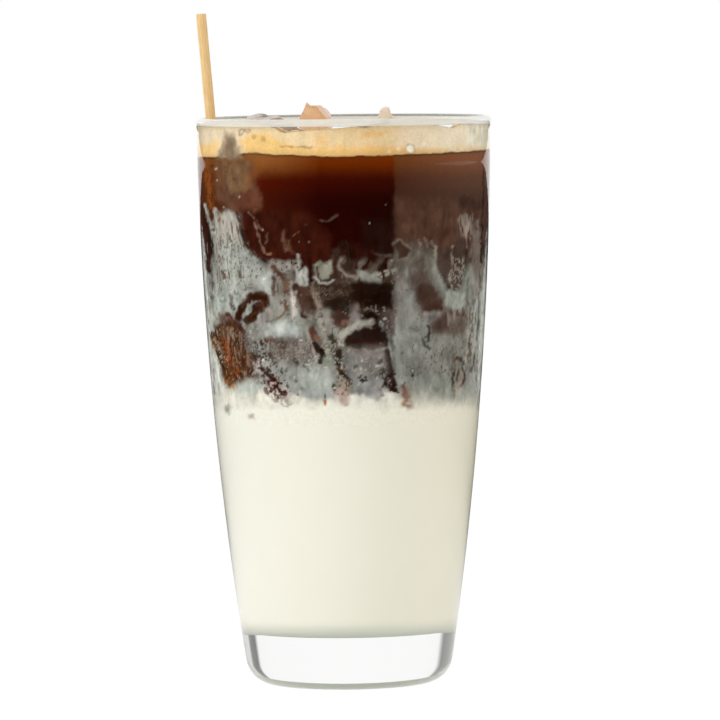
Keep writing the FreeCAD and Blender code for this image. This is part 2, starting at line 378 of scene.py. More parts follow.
MARBLING = (
    # broad fields
    ("#989992", 1, 2.4, 0, None, ((-39, 118), (-31, 127), (-27.4, 125.6), (-26.6, 119), (-24, 115),
        (-20, 112.6), (-16, 109), (-14, 106), (-11, 96), (-12, 84), (-13, 80), (-34, 80), (-39, 90))),
    ("#3A140A", 1, 1.8, 0, None, ((-26.6, 127), (-10, 127), (-4, 121), (-3, 113), (-13, 111), (-19, 113),
        (-25.4, 117.5))),
    ("#3A2A20", 1, 2.2, .1, None, ((-13, 112), (-3, 108), (9, 108.6), (13, 112), (13, 97), (4, 97),
        (-2, 99), (-8, 102), (-12.6, 104))),
    ("#8C8C84", 1, 2.6, 0, None, ((14, 118), (22, 116), (28, 110), (38, 114), (38, 76), (13, 77),
        (13.2, 104))),
    ("#8F8D86", 1, 2, .1, None, ((-13.6, 99), (-2, 98), (2, 92), (13, 88), (12.4, 78.5), (-14, 79),
        (-15, 90))),
    ("#DDD8CA", .9, 2.4, 0, None, ((-38, 84), (-34, 83), (-30, 80.5), (-27, 83.5), (-24, 83), (-22, 79.5),
        (-20.5, 76.5), (-17, 75.2), (-14.5, 76.6), (-12, 79), (-9, 78.4), (-4, 77.4), (-1, 75.4), (2, 76),
        (4, 78.4), (8, 77.6), (12, 77), (15, 75), (20, 75.6), (27, 76), (34, 76.6), (38, 77), (38, 75.4),
        (-38, 75.4))),
    # left: the dark strip at the wall and the milk that hangs from the coffee
    ("#3A1505", .98, .6, 0, (1.6, 3.0), ((-36.8, 128), (-36.4, 123), (-35.7, 117), (-35, 112))),
    ("#241006", .92, .5, -.12, (1.6, 1), ((-35.3, 124.6), (-35.1, 117), (-34.7, 110), (-34.4, 102))),
    ("#BDB6A8", .58, .37, 0, (.4, .3), ((-36.1, 118.6), (-35.9, 116.2))),
    ("#C6C2B8", .85, .5, 0, (.4, 1.0), ((-36.4, 128.8), (-35.6, 125.6), (-34.2, 121.4))),
    ("#AEA99E", .9, .7, 0, (.5, 2.6), ((-33.7, 127.6), (-33, 124), (-32.4, 119.4))),
    ("#A49C8F", .9, .7, 0, (.6, 2.4), ((-32.7, 127.2), (-31.6, 124.6), (-31, 120))),
    ("#AAA499", .9, 1, 0, (3.6, 4.6), ((-29.8, 125.2), (-29.6, 121), (-29, 117))),
    ("#AEB2AB", .9, 1.6, 0, (6.5, 7.6), ((-30, 116.5), (-29.4, 110), (-29, 103.6))),
    ("#AAAEA8", .8, 1.2, 0, (4, 5), ((-26, 115), (-22.6, 110), (-20, 107))),
    ("#9CA099", .8, .9, .1, (2.2, 2.8), ((-34, 114), (-33.4, 108), (-33.2, 103))),
    ("#8A5A2C", .8, .5, 0, .8, ((-32.7, 124.8),)),
    ("#2E160B", .85, .4, 0, .9, ((-34.3, 122.3),)),
    ("#5C5A48", .75, .4, .15, (.5, .35), ((-30.3, 121), (-29.8, 118.8))),
    ("#63604E", .7, .4, .15, (.45, .35), ((-29.4, 116.6), (-29.6, 113.4))),
    ("#6A6654", .6, .4, .1, (.4, .3), ((-28.1, 118.7), (-28, 116))),
    ("#2C1408", .85, .4, 0, (.9, .6), ((-32.2, 111.3), (-31.6, 110.2), (-31.1, 109.2))),
    ("#E4E0D6", .9, .2, 0, .4, ((-31.7, 110.9),)),
    ("#8C8C82", .43, .62, 0, (.5, .4), ((-25, 106.4), (-24.2, 108.2), (-22.8, 108.8), (-21.5, 107.6),
        (-21.2, 106))),
    ("#EFEDE6", .8, .25, 0, .5, ((-20.8, 109.1),)),
    # the edge between that milk and the coffee, and the wisps right of it
    ("#2A0C04", .85, .5, .1, (.8, .8), ((-27.8, 126.7), (-26.9, 123.9), (-26.4, 120.4), (-25.6, 118.2),
        (-23.7, 115.7), (-21.2, 114), (-18, 112), (-16.2, 108.9))),
    ("#38140A", .9, 1.6, 0, None, ((-25.6, 126.4), (-17, 127), (-16.4, 119), (-19, 114.6), (-23.8, 116.8),
        (-25.8, 121))),
    ("#9A786A", .5, .4, 0, (.3, .8), ((-23.4, 124), (-22.4, 121.4), (-21.8, 118.8), (-20.8, 116),
        (-19.4, 115.4))),
    ("#9A786A", .4, .35, 0, (.25, .45), ((-22.6, 124.5), (-22, 122.6), (-21, 121.9))),
    ("#F0E2D4", .9, .2, 0, .45, ((-21.2, 122.1),)),
    ("#927262", .4, .4, 0, (.25, .5), ((-19.7, 121.1), (-20.2, 119.4), (-20.6, 118.2))),
    ("#C07C3C", .8, .4, 0, .8, ((-20.2, 115.5),)),
    ("#A08070", .4, .4, 0, (.3, .4), ((-24.7, 126.4), (-23.4, 125.3))),
    ("#80604E", .6, .6, 0, (.4, .8), ((-15.6, 121.7), (-15.8, 119), (-15.2, 116.4))),
    ("#9A8070", .5, .35, 0, (.25, .35), ((-13.4, 120.2), (-12.1, 121.2))),
    ("#6A4636", .6, .7, .15, (1.2, 1), ((-14.4, 118.8), (-14.2, 116.6), (-13.6, 115.8))),
    ("#9E9A93", .85, 1.1, .1, (3.2, 2.4), ((-18.4, 112.4), (-15.4, 112.2), (-12.6, 112.6))),
    ("#4A2A1A", .9, .5, .1, (1.6, 1.1), ((-18.6, 112), (-16.4, 109.4), (-15.2, 105.9))),
    ("#44180C", .9, .6, 0, (1.2, 1), ((-18.4, 109.2), (-18.4, 104.8))),
    ("#6B4A38", .8, 1, .3, (3, 2.6), ((-15.2, 107.6), (-15, 103.4))),
    ("#22100A", .9, .5, 0, (1.8, 1.3), ((-12.6, 106.8), (-12.9, 104.8))),
    # the coffee at the middle and its ragged lower edge
    ("#7E6458", .4, .4, 0, (.3, .5), ((-6.3, 124.4), (-4.6, 123.9), (-3, 124.8), (-1.7, 125.8))),
    ("#9A8474", .45, .42, 0, (.3, .3), ((-10.4, 123.3), (-9.9, 123.2))),
    ("#A8948A", .7, .2, 0, .3, ((-11.8, 118.5),)),
    ("#9A867A", .7, .2, 0, .25, ((-9.2, 118.5),)),
    ("#0E0300", .9, .4, 0, 1.5, ((6.5, 123.4),)),
    ("#E2D6C8", .8, .2, 0, .4, ((6.5, 123.4),)),
    ("#B4A496", .7, .2, 0, .3, ((10.7, 128.3),)),
    ("#C4B4A6", .85, .25, 0, .45, ((12, 113.5),)),
    ("#26140F", .6, 2.2, 0, None, ((4.6, 124), (12.6, 124), (12.8, 115), (5, 114.6))),
    ("#5F5049", .7, .5, .1, (.6, .5), ((7, 116), (9, 114.9), (11.8, 114.9))),
    ("#3E2E28", .5, .8, 0, (.9, .7), ((-.2, 117.6), (2.4, 117), (5.2, 116))),
    ("#ACACA7", .95, .45, 0, None, ((-13, 112), (-12, 110.6), (-10.4, 112.2), (-9.6, 111.4), (-9.4, 107.2),
        (-11, 106.6), (-12.8, 108))),
    ("#A8A49A", .85, .5, .1, (1.2, 1), ((-12, 115.2), (-12.2, 112.6))),
    ("#6F6A62", .8, .3, 0, (.4, .3), ((-10.8, 111.6), (-10.7, 107.6))),
    ("#2A0A04", .95, .4, 0, (.9, .9), ((-8.9, 114), (-9, 107.4))),
    ("#8A8A7C", .95, .6, 0, None, ((-8, 112.4), (-6.4, 113.8), (-5, 113.2), (-3.4, 113.8), (-3.2, 110.8),
        (-5, 108.2), (-7.6, 109.6))),
    ("#40140A", .9, .35, 0, (.7, .6), ((-7.1, 111.8), (-6.9, 109.4))),
    ("#CDCBC0", .65, .42, 0, (.5, .5), ((-8, 109.4), (-6.6, 107.8), (-4.4, 107.5), (-3.1, 108.6))),
    ("#2C1C14", .85, .3, 0, (.5, .6), ((-5.4, 108.6), (-3.9, 108.5))),
    ("#3E2014", .9, .5, .1, (.9, .8), ((-2.5, 113.8), (-2.4, 109.4))),
    ("#A89C94", .5, .47, 0, (.7, .7), ((-.7, 114.4), (-1.5, 112), (.4, 109.8), (3, 108.8), (4.4, 110.6))),
    ("#2E211B", .85, .5, .3, (2, 1.6), ((.9, 112.2), (2.2, 110.9))),
    ("#909188", .95, .8, 0, None, ((3.2, 111), (6, 110.4), (9.4, 108.6), (9.6, 107.2), (5.2, 107.6),
        (3.6, 109))),
    ("#A29E93", .8, .5, .45, (2, 1.4), ((8, 109.6), (13, 110.8))),
    ("#4A3328", .95, .7, .1, None, ((-13.2, 107), (-8.8, 106.8), (-8.6, 104.4), (-13, 104.2))),
    ("#B4A698", .58, .42, 0, (.5, .4), ((-13.9, 108), (-13.7, 105), (-13.2, 103))),
    ("#A89C8E", .54, .47, .1, (.5, .5), ((-8.4, 107.6), (-8.2, 104.8), (-7, 101.6))),
    ("#6C5E50", .8, 1, .35, (3.2, 2.6), ((-7.6, 105.6), (-.6, 104.4))),
    ("#1E0E06", .95, 1.1, 0, None, ((2, 107.8), (12.8, 107.6), (12.8, 104), (11.6, 101.4), (4.6, 101.6),
        (1.2, 103.6))),
    # right, above: brown veils, partly a painted reflection of the softbox over the coffee, milk feathers
    # and the dark ellipsoid
    ("#54392D", .9, 2.4, 0, None, ((13.4, 130), (38, 130), (38, 117), (30, 116), (22, 116.4), (13.4, 118))),
    ("#3F2A20", .85, .9, 0, (3.2, 2.2), ((31.2, 128.8), (34.8, 127.8))),
    ("#8E7E74", .75, .7, -.3, None, ((29.3, 124.6), (31.4, 126), (33.4, 125.6), (33.4, 120.4), (31.8, 117),
        (30.6, 119.4))),
    ("#A2948A", .6, .5, 0, (.5, 1), ((31.9, 125.2), (32.2, 122.6), (31.4, 119.4))),
    ("#7C6C64", .75, 1.1, .1, (2.0, 2.2), ((34.4, 123.2), (34.6, 116), (34.8, 109.6))),
    ("#55483F", .7, 1.6, 0, None, ((14.4, 118), (23, 117.8), (23, 111.4), (16.6, 110.6), (14, 112.6))),
    ("#3E261A", .9, .5, 0, None, ((12.8, 118), (14.4, 118.8), (17.2, 116), (15.9, 114.4), (13.9, 113.8))),
    ("#8E7C6C", .5, .42, 0, (.5, .5), ((12.6, 118), (14.2, 119), (17.3, 116.1), (16, 114.4), (13.9, 113.7),
        (13, 111.6))),
    ("#8E8478", .5, .47, .15, (.35, .6), ((19.2, 118.8), (19.8, 117))),
    ("#8E8478", .5, .47, .15, (.35, .6), ((20.8, 119.2), (21.6, 117))),
    ("#8E8478", .5, .47, .15, (.35, .6), ((22.4, 118.6), (22.8, 116.4))),
    ("#8D9087", .95, 1, 0, None, ((23.6, 111.6), (25, 109.4), (27, 106), (28.4, 104.6), (31.6, 105.4),
        (31.4, 102), (28, 99.8), (24.6, 100.4), (21.4, 104), (20.4, 109))),
    ("#4A3A32", .9, 2.4, 0, (6.6, 8), ((19.4, 108.4), (21.4, 104), (22.6, 101.8))),
    ("#3F2A22", .9, 1.2, 0, (4.4, 5.2), ((20.6, 105), (22.4, 101.4))),
    ("#7A706E", .8, 1.3, 0, (2, 2.6), ((15, 106.6), (15.4, 103))),
    ("#4A3931", .92, .9, 0, None, ((23.6, 116.6), (27.4, 117), (31.2, 116), (31.6, 109.4), (30.4, 106.6),
        (28.6, 105.2), (26.6, 106), (24.8, 109), (23.6, 112))),
    ("#A59A8C", .54, .47, 0, (.4, .5), ((23.4, 117), (23.5, 110.4))),
    ("#A89C8E", .58, .47, 0, (.5, .5), ((27.9, 117), (28, 111.6), (27, 107.6))),
    ("#90887E", .8, .4, .66, None, ((27.6, 114), (31, 114.4), (31.4, 109), (30.2, 106.2), (28.4, 105.4),
        (26.4, 107.6))),
    ("#3A2A22", .85, .3, 0, .8, ((27.1, 106.4),)),
    ("#3A2A22", .85, .3, 0, .7, ((28.4, 105.6),)),
    ("#3A2A22", .85, .3, 0, .6, ((30, 107.2),)),
    ("#4F3D34", .85, .7, 0, (1.8, 1.6), ((29.4, 119.6), (30, 114.6))),
    ("#8A8C83", .85, 1.4, 0, (3.4, 3.2), ((32.8, 108.4), (32.9, 101.6))),
    ("#54483C", .8, .4, .1, (.5, .4), ((32.2, 108.6), (31.8, 103.4), (32.6, 99.8))),
    ("#5E5246", .7, .4, .1, (.4, .4), ((33.2, 107), (33.4, 101.4))),
    ("#7E7268", .75, 1.6, 0, None, ((-27, 94), (-22, 95.6), (-19, 92.6), (-20, 88), (-25.6, 89.4))),
    ("#6C6258", .7, 1.2, 0, None, ((-14.6, 97.4), (-9.6, 98), (-9.4, 93.6), (-14, 93.8))),
    ("#6E6054", .7, 1.4, 0, None, ((-18.6, 108), (-15.6, 108.6), (-14.8, 103), (-18, 102.4))),
    ("#8E8A80", .6, .9, -.3, None, ((-34.4, 121), (-31.8, 121), (-31.6, 108), (-33.6, 108))),
    ("#260A04", .7, 1.4, .05, None, ((-2, 118), (8, 118), (7.6, 114.4), (3, 113.6), (-1.4, 114.6))),
    # both edges: paler, then near white, painted as the highlights and reflections of the glass's edges, and
    # a dark line along them
    ("#C9CBC3", .5, 2, 0, None, ((33.6, 108), (40, 108), (40, 76), (31.8, 76))),
    ("#D2D3CB", .7, 1.6, 0, None, ((-34.4, 100), (-40, 104), (-40, 78), (-33, 78), (-33.2, 88))),
    ("#DDDFD8", .85, .6, -.2, None, ((38.6, 130), (37.4, 120), (36.5, 111), (35.9, 104), (35.4, 96),
        (35, 86), (34.7, 78), (40, 78), (40, 130))),
    ("#E6E7E0", .85, .7, -.15, None, ((-35, 93), (-38, 93), (-38, 79), (-32.4, 79), (-33.2, 85))),
    ("#E4E5DE", .8, .7, -.15, None, ((35.6, 99), (38, 99), (38, 79), (33.8, 79), (35, 88))),
    ("#8A7A70", .6, .8, 0, None, ((33.2, 121), (36, 121), (35.6, 104), (33.6, 104))),
    ("#2A1408", .6, .3, 0, (.3, .5), ((36.5, 140.6), (36.5, 131), (36, 122.6))),
    ("#2A1408", .9, .3, 0, (.5, .6), ((36, 122.6), (35.9, 118), (35.6, 113))),
    ("#4A5048", .7, .3, 0, (.45, .35), ((35.5, 112), (35, 102), (34.5, 90), (34.1, 80))),
    ("#EDEEEA", .9, .5, -.15, None, ((-40, 130), (-39, 130), (-37.3, 121), (-36.6, 113), (-36, 104),
        (-35.8, 98), (-35.6, 90), (-35.4, 80), (-40, 80))),
    ("#6A6A60", .7, .3, 0, (.3, .7), ((-35.2, 85.4), (-34.9, 81), (-34.8, 79))),
    # left, below: the ring end of a piece of tube ice, and the brown feathers under it
    ("#A6ACA5", .95, 1.2, 0, None, ((-34.4, 105.6), (-29.6, 105.8), (-30.4, 101), (-32.6, 99.4),
        (-34.6, 100.4))),
    ("#ACB2AB", .9, 1.4, 0, (3.6, 3.2), ((-27.8, 105.2), (-26.8, 102.4))),
    ("#6A7A66", .7, .5, .1, 1.2, ((-31.4, 103.3),)),
    ("#3A2018", .9, .5, .1, (.8, 1.1), ((-29.9, 104.6), (-29.6, 102.6), (-29.3, 101.4))),
    ("#5E4A40", .9, 1.3, 0, (2.6, 3.4), ((-32, 99), (-30.6, 97.4))),
    ("#989591", .95, .8, 0, None, ((-28, 98), (-26, 101), (-23, 102.4), (-21, 101.4), (-20.6, 96),
        (-23, 92), (-27, 93.4))),
    ("#939591", .9, .6, 0, (1.8, 2.2), ((-27, 98), (-25.4, 99.4), (-24, 100.8))),
    ("#33180A", .95, .45, 0, (2.0, 3.2), ((-24.6, 98.4), (-23.4, 100.2), (-22.8, 101.2))),
    ("#33180A", .95, .45, 0, (2.6, 1.6), ((-25.2, 98.2), (-24, 98.8), (-22.9, 101))),
    ("#5E3E1C", .4, .3, .35, (1.4, 1.2), ((-24.4, 98.4), (-23.4, 99.8))),
    ("#43200C", .95, .5, 0, (1.6, 2.8), ((-28.1, 97.9), (-27.5, 100.6), (-26.3, 102.7), (-24.6, 104.2),
        (-22.4, 104.7), (-20.9, 104.2), (-20.7, 102.4))),
    ("#2E1206", .9, .4, 0, (1.1, 1.6), ((-28.1, 98), (-27, 101.7), (-25, 103.9), (-22.4, 104.4),
        (-20.7, 103.8))),
    ("#4A2008", .85, .35, 0, (1.2, .4), ((-20.8, 103), (-21, 100.4))),
    ("#8E8480", .85, 1, 0, (3.4, 4.4), ((-29.4, 96.6), (-27.2, 92.2))),
    ("#451A08", .95, .6, 0, (1.2, 2.2), ((-30.9, 99.6), (-29.2, 97.6), (-27.4, 95.6), (-26, 93.4))),
    ("#A8807A", .61, .42, 0, (.35, .4), ((-30.5, 98.8), (-28.6, 96.4), (-27.4, 94.4), (-26.8, 92.3))),
    ("#A88C84", .54, .42, 0, (.3, .35), ((-31, 97.4), (-29.8, 94.2), (-28.6, 91.8))),
    ("#A2A39C", .9, 1.4, 0, (5, 5.6), ((-23.6, 94.8), (-21.4, 91.6))),
    ("#91928D", .85, 1.4, 0, (4, 5.5), ((-25.4, 90.6), (-20, 89.6))),
    ("#8A8880", .9, 1.2, .12, None, ((-20.4, 101.6), (-18, 104.6), (-13.6, 104.4), (-13.8, 99.4),
        (-17, 96.6), (-20, 97.4))),
    ("#5A2A20", .8, .6, .3, (1.8, 1.5), ((-15.3, 104.6), (-14.8, 101.2))),
    ("#6A5040", .85, .35, 0, (.5, .7), ((-20.6, 97.8), (-18.2, 97.8), (-16.4, 99.4), (-15.2, 101.4))),
    ("#B4ACA2", .9, .7, 0, (1.8, 1.2), ((-19.8, 100.4), (-19.2, 98.6))),
    ("#BDB4AC", .9, .5, 0, (1.4, 1.2), ((-13.6, 105.2), (-13.4, 101.4), (-13.4, 98))),
    ("#A7A9A2", .9, 1.3, 0, None, ((-20, 97), (-13.6, 99), (-11, 97), (-12.6, 94.4), (-18, 92.8))),
    ("#7D7A72", .9, 1.4, .15, None, ((-21.6, 93.6), (-12.4, 94), (-12, 86.8), (-16, 86.6), (-21.8, 88.4))),
    ("#4A2015", .95, .5, .12, (2, 1.8), ((-21.2, 92.6), (-19.4, 92.8))),
    ("#38160A", .95, .45, 0, None, ((-18.6, 92.2), (-18, 93.5), (-15, 93.4), (-14.8, 92), (-16.2, 90.2),
        (-17.6, 90.8))),
    ("#3A1510", .9, .4, .1, (1.2, .9), ((-16.8, 90.4), (-16.4, 88.4), (-15.8, 87))),
    ("#5E5A52", .7, .4, .55, (6, 5), ((-19, 89.4), (-14.4, 89))),
    ("#2A1418", .9, .4, 0, (1.1, .8), ((-13.2, 87.2), (-12.4, 86.4))),
    ("#92948F", .95, 1.5, 0, None, ((-18, 88.4), (-14, 88), (-12.4, 83), (-12.6, 78.6), (-16, 79),
        (-18.4, 83))),
    ("#A1A29C", .8, 1.2, 0, (3.6, 3), ((-16, 81.6), (-14, 79.6))),
    ("#4C4C44", .8, .3, 0, .6, ((-15.7, 84.6),)),
    ("#4C4C44", .8, .3, 0, .7, ((-14.6, 82.9),)),
    ("#55554C", .8, .3, 0, .8, ((-13.1, 81.9),)),
    ("#55554C", .8, .3, 0, .7, ((-12.8, 78.2),)),
    ("#E6E4DC", .9, .25, 0, .5, ((-13.4, 83.1),)),
    ("#B4B0AB", .95, 1.2, 0, None, ((-25.6, 87.8), (-20, 87.6), (-19.4, 84), (-24, 83.4))),
    ("#F0EEE6", .95, .3, 0, .7, ((-21.3, 87.5),)),
    ("#B4A29A", .9, 1, .1, None, ((-22, 83.6), (-17.8, 83), (-14.6, 78.4), (-15.4, 76.2), (-19, 78.2),
        (-21.6, 80))),
    ("#241206", .95, .35, 0, (.8, 1.2), ((-22, 85.4), (-20.4, 83.6), (-18.8, 82.2))),
    ("#3A1A0C", .9, .3, .15, (.9, .9), ((-20.6, 85.4), (-19, 83.4))),
    ("#48160E", .9, .35, 0, (1.2, 1), ((-18.9, 82.6), (-18.3, 81.9))),
    ("#2E140C", .9, .35, .1, (1.2, .9), ((-21.4, 82.4), (-20.3, 81.2))),
    ("#4A1C1C", .85, .35, .1, (1, .8), ((-21, 79.9), (-20.4, 78.4))),
    ("#4A1C14", .9, .4, .15, (1.7, 1.3), ((-18.5, 80.2), (-16.9, 78.6), (-15.8, 78.8))),
    ("#9A8A7C", .7, .4, .5, (2.2, 2), ((-18.8, 77.4), (-15, 76))),
    ("#8A7A6E", .5, .42, .1, (.4, .3), ((-20.4, 78), (-18, 76.6), (-15.4, 74.9))),
    # the brown feathers themselves
    ("#55351E", .95, .9, 0, None, ((-34.4, 97), (-29, 98), (-27, 92), (-25.2, 88), (-24.2, 83), (-27, 81.2),
        (-31, 80.4), (-32.2, 84), (-33.8, 89), (-35.6, 93))),
    ("#3E1F08", .97, .6, -.28, None, ((-33.6, 97), (-28.8, 97.6), (-26.6, 91), (-24.4, 84.6), (-27.6, 82),
        (-31.6, 83), (-32.6, 88), (-34.6, 93))),
    ("#2A1204", .9, .5, .55, None, ((-33.6, 96), (-28.8, 97), (-26.4, 90), (-24.6, 85), (-30.8, 82),
        (-32.6, 89))),
    ("#86664A", .7, .5, -.7, None, ((-33.8, 96), (-28.8, 97), (-26.4, 90), (-25, 84.6), (-30.8, 82),
        (-32.6, 89))),
    ("#80480F", .85, .5, .8, None, ((-33.6, 92), (-27.6, 91), (-25, 84.6), (-30.8, 80.6), (-32.8, 86))),
    ("#A8681E", .8, .4, .4, (1, 1), ((-35, 92), (-33.8, 89.8))),
    ("#4A2408", .9, .5, .2, (1.6, 1), ((-35.2, 94.6), (-34.6, 92.4))),
    ("#D8B48C", .65, .42, .1, (.6, .6), ((-34.4, 93.4), (-33.2, 91.4))),
    ("#B8B0A2", .8, .4, .2, (.8, .6), ((-33, 90.6), (-32, 88.4))),
    ("#2E1A05", .95, .3, 0, (.8, .9), ((-34, 90.2), (-32.8, 87.6), (-31.9, 85.4))),
    ("#4C2A0A", .9, .4, .15, (2, 1.2), ((-32, 88.6), (-31.6, 84.6), (-31.5, 82.6))),
    ("#431C06", .95, .5, .15, None, ((-28.4, 90), (-26.6, 91), (-24.8, 88), (-24.2, 83.4), (-26.4, 82.6),
        (-28.8, 84))),
    ("#4A140C", .9, .5, .15, (2.2, 1.6), ((-26, 85.6), (-24.6, 83.8), (-23.2, 83.2))),
    ("#2E1A08", .95, .4, 0, (1.2, 1.5), ((-25.7, 89.2), (-24, 88.2))),
    ("#5E320C", .85, .6, .3, None, ((-31.6, 85.2), (-27, 84), (-26.6, 81.6), (-29, 80), (-31.4, 80.6))),
    ("#A0641A", .85, .5, .5, (2, 1.6), ((-31.4, 82.6), (-29.6, 80.4))),
    ("#B87828", .8, .4, .4, (1, .8), ((-30.6, 80.6), (-28.6, 80.2))),
    ("#86501E", .8, .4, .3, (1, .8), ((-30.4, 92), (-30.2, 89.4))),
    ("#86501E", .8, .4, .3, (.9, .7), ((-28.8, 87), (-28.4, 84.4))),
    ("#D8B8A0", .58, .62, 0, (.5, .4), ((-28.4, 80), (-27.6, 78))),
    ("#B4B9B2", .9, 1.8, 0, (4, 4), ((-27.4, 79.8), (-23.6, 81.2))),
    # middle, below
    ("#2A140A", .9, .7, .1, (1.6, 1.4), ((-8.8, 103.6), (-8.6, 101.6))),
    ("#908173", .9, .6, .15, (2, 1.6), ((-7.4, 104.4), (-6.6, 101.2))),
    ("#2E1A0E", .85, .5, .1, 1.3, ((-7.8, 101.2),)),
    ("#4A332A", .9, 1.4, 0, None, ((-12.4, 104.6), (-9, 104.4), (-9, 100.8), (-11.6, 100.4))),
    ("#2A1D16", .95, 1.6, 0, None, ((-6, 104.2), (1.6, 104.4), (2, 101), (-1, 100), (-5, 100.8))),
    ("#6A5048", .75, .3, .15, (.4, .4), ((-7.8, 103.8), (-4, 103.5), (-2, 104.4))),
    ("#6E625E", .9, 1.2, 0, (2.6, 2.8), ((2.4, 100.6), (2.2, 97.8))),
    ("#7F7976", .8, .7, 0, 2.6, ((2.2, 98.8),)),
    ("#1C0B04", .95, 1, 0, None, ((3.8, 105), (12.6, 104.6), (12.4, 100.4), (8, 101.6), (4, 101.2))),
    ("#6A5A54", .9, .7, .18, None, ((9.2, 100.4), (12.6, 101), (13.6, 96), (13, 93.6), (10.4, 94.2),
        (9.2, 97))),
    ("#E6E2DC", .7, .2, 0, .6, ((10, 98),)),
    ("#160503", .95, .5, 0, None, ((4.4, 99.2), (7, 100.2), (8.6, 98.6), (8.9, 94.4), (7.4, 94.2),
        (6.4, 97.2))),
    ("#B0A496", .61, .37, 0, (.35, .45), ((4.9, 100.4), (6.8, 100.6), (8.3, 99.3))),
    ("#87827C", .95, .8, 0, None, ((-7.8, 100.4), (-4, 101), (-3.2, 96), (-4.4, 92.6), (-7, 94.4),
        (-8, 97.4))),
    ("#A8A294", .85, .6, 0, (1.6, 1.3), ((-6.6, 98), (-5.6, 94.8))),
    ("#7C7A70", .8, .5, 0, 1.2, ((-5.2, 99),)),
    ("#6E6A5E", .8, .4, .1, .9, ((-5.7, 96.6),)),
    ("#4A2E24", .95, .8, 0, None, ((-3.8, 99.2), (-1.6, 100.4), (1, 98.6), (.8, 96.2), (-1.2, 95.2),
        (-3.2, 96.8))),
    ("#8A6A60", .7, .4, .3, (1.6, 1.4), ((-.8, 97.2), (.8, 97))),
    ("#2E1616", .95, .45, 0, (1.5, 1.2), ((-11.1, 99.4), (-10.4, 98.8))),
    ("#D2D0C6", .58, .42, 0, (.5, .4), ((-11.9, 97.4), (-11, 97.2))),
    ("#5E6256", .85, .8, 0, (2, 1.4), ((-8.8, 97.2), (-8.4, 95.6))),
    ("#91958E", .9, 1.2, 0, (4.5, 4), ((-13, 95.8), (-10.6, 94.4))),
    ("#7C7672", .95, .9, .12, None, ((-14.6, 93.6), (-9, 93.8), (-8.2, 90), (-8.4, 87.2), (-13, 87),
        (-15, 89.4))),
    # a white glint on the grey ice: a painted highlight
    ("#F0EEE8", .7, .2, 0, .55, ((-11.4, 92.6),)),
    ("#5A5450", .7, .35, .6, (5.4, 5), ((-12.6, 90.8), (-9.6, 89.6))),
    ("#5A342A", .95, .6, 0, (1.8, 2.2), ((-8.8, 95.4), (-8, 93.2))),
    ("#7A5A48", .9, .5, 0, (1.6, 1.4), ((-7.6, 93.2), (-6.4, 91.8))),
    ("#1E0A04", .95, .4, 0, (2.2, 1.2), ((-8, 91.4), (-6.6, 89.8), (-5.6, 88.2))),
    ("#1E0A04", .95, .4, 0, (1.4, .9), ((-6.2, 90), (-6.2, 88), (-6.8, 86.8))),
    ("#C0A898", .61, .42, 0, (.4, .5), ((-9.8, 94.6), (-9, 91.6), (-8.4, 89.4), (-7.6, 87.4))),
    ("#3A3018", .85, .5, .25, (2.2, 2.4), ((-3.6, 93.4), (-2.4, 91.4))),
    ("#8A8878", .85, .6, .15, (2.4, 2), ((-4.6, 90.6), (-3.4, 89.4))),
    ("#7C8776", .85, 1, 0, (1.8, 1.8), ((-5.2, 87.4), (-4.2, 86.6))),
    ("#A19E95", .95, .7, 0, (1.8, 2.0), ((6.8, 97.4), (3.4, 96.8), (1, 95.2), (-.8, 93.4), (-1.2, 91))),
    ("#B4AEA2", .7, .4, 0, (1.0, 1.2), ((5.6, 96.9), (3, 96.4), (.8, 94.8), (-.8, 93), (-1.1, 91.2))),
    ("#DAD8D0", .65, .37, .1, (.4, .3), ((6.6, 97.8), (5.2, 97.4))),
    ("#1E0A05", .97, .6, 0, None, ((0, 93.4), (2.4, 95.2), (5, 95.6), (8, 95.8), (10.4, 94.6), (11.2, 92.6),
        (11, 90.6), (7, 89.8), (2.6, 90), (-.4, 91))),
    ("#3A1410", .8, .6, .15, (1.6, 1.4), ((1.4, 92.4), (6.4, 92), (10, 91.4))),
    ("#C4B8AE", .9, .25, .1, .45, ((9, 91.4),)),
    ("#746862", .9, .7, 0, (1.2, 1.2), ((1.2, 89.2), (6, 89.2), (10.4, 89))),
    ("#85837F", .97, .8, 0, None, ((0, 89.8), (4, 88.8), (10.6, 88.4), (11.4, 84), (11.6, 79.6), (6, 77.8),
        (.6, 78.4), (-1, 83))),
    ("#989892", .9, .7, 0, (3, 3.2), ((.6, 88.6), (1.4, 86.4))),
    ("#736F6B", .8, 1.2, .25, (4, 3.6), ((5.4, 86.6), (7, 83.8))),
    ("#939390", .8, .9, .1, (2.4, 2.6), ((3, 83.6), (5, 80.6), (8, 80))),
    # white glints on the piece of ice: painted highlights
    ("#F4F2EC", .6, .2, 0, .6, ((4.1, 86.9),)),
    ("#F4F2EC", .5, .2, 0, .5, ((3.8, 85),)),
    ("#F4F2EC", .68, .32, 0, (.4, .6), ((8, 85.4), (8.6, 86.1))),
    ("#2A2A22", .9, .35, 0, (.9, .7), ((2, 85.4), (2.7, 85.6))),
    ("#1A1208", .95, .3, 0, (.9, .9), ((8.5, 86.4), (9.1, 87))),
    ("#181208", .95, .35, .12, None, ((2.9, 83), (4, 83.4), (5.2, 82.8), (5.4, 81.6), (4.2, 80.8),
        (3.4, 81.8))),
    ("#2A0C06", .95, .5, 0, (1.8, 1.4), ((10.6, 89.6), (11, 86), (11.9, 83), (12.4, 80.2))),
    ("#2A1208", .9, .5, .15, (2.6, 1.6), ((10, 84), (11.2, 81.2), (12.8, 79.2))),
    ("#1E0804", .95, .3, 0, (1.2, .7), ((10.2, 80.6), (12, 79.4), (13.4, 78.6))),
    ("#5E2620", .9, .4, .15, (1.3, 1), ((8.7, 78.8), (9.5, 77.8))),
    ("#979393", .8, 1.2, 0, (3, 2.8), ((5.6, 78.4), (8.4, 77.8))),
    ("#A2A59F", .97, 1.2, 0, None, ((-11.6, 86.2), (-8, 85.6), (-4.6, 84.6), (-3.2, 82), (-3.4, 77),
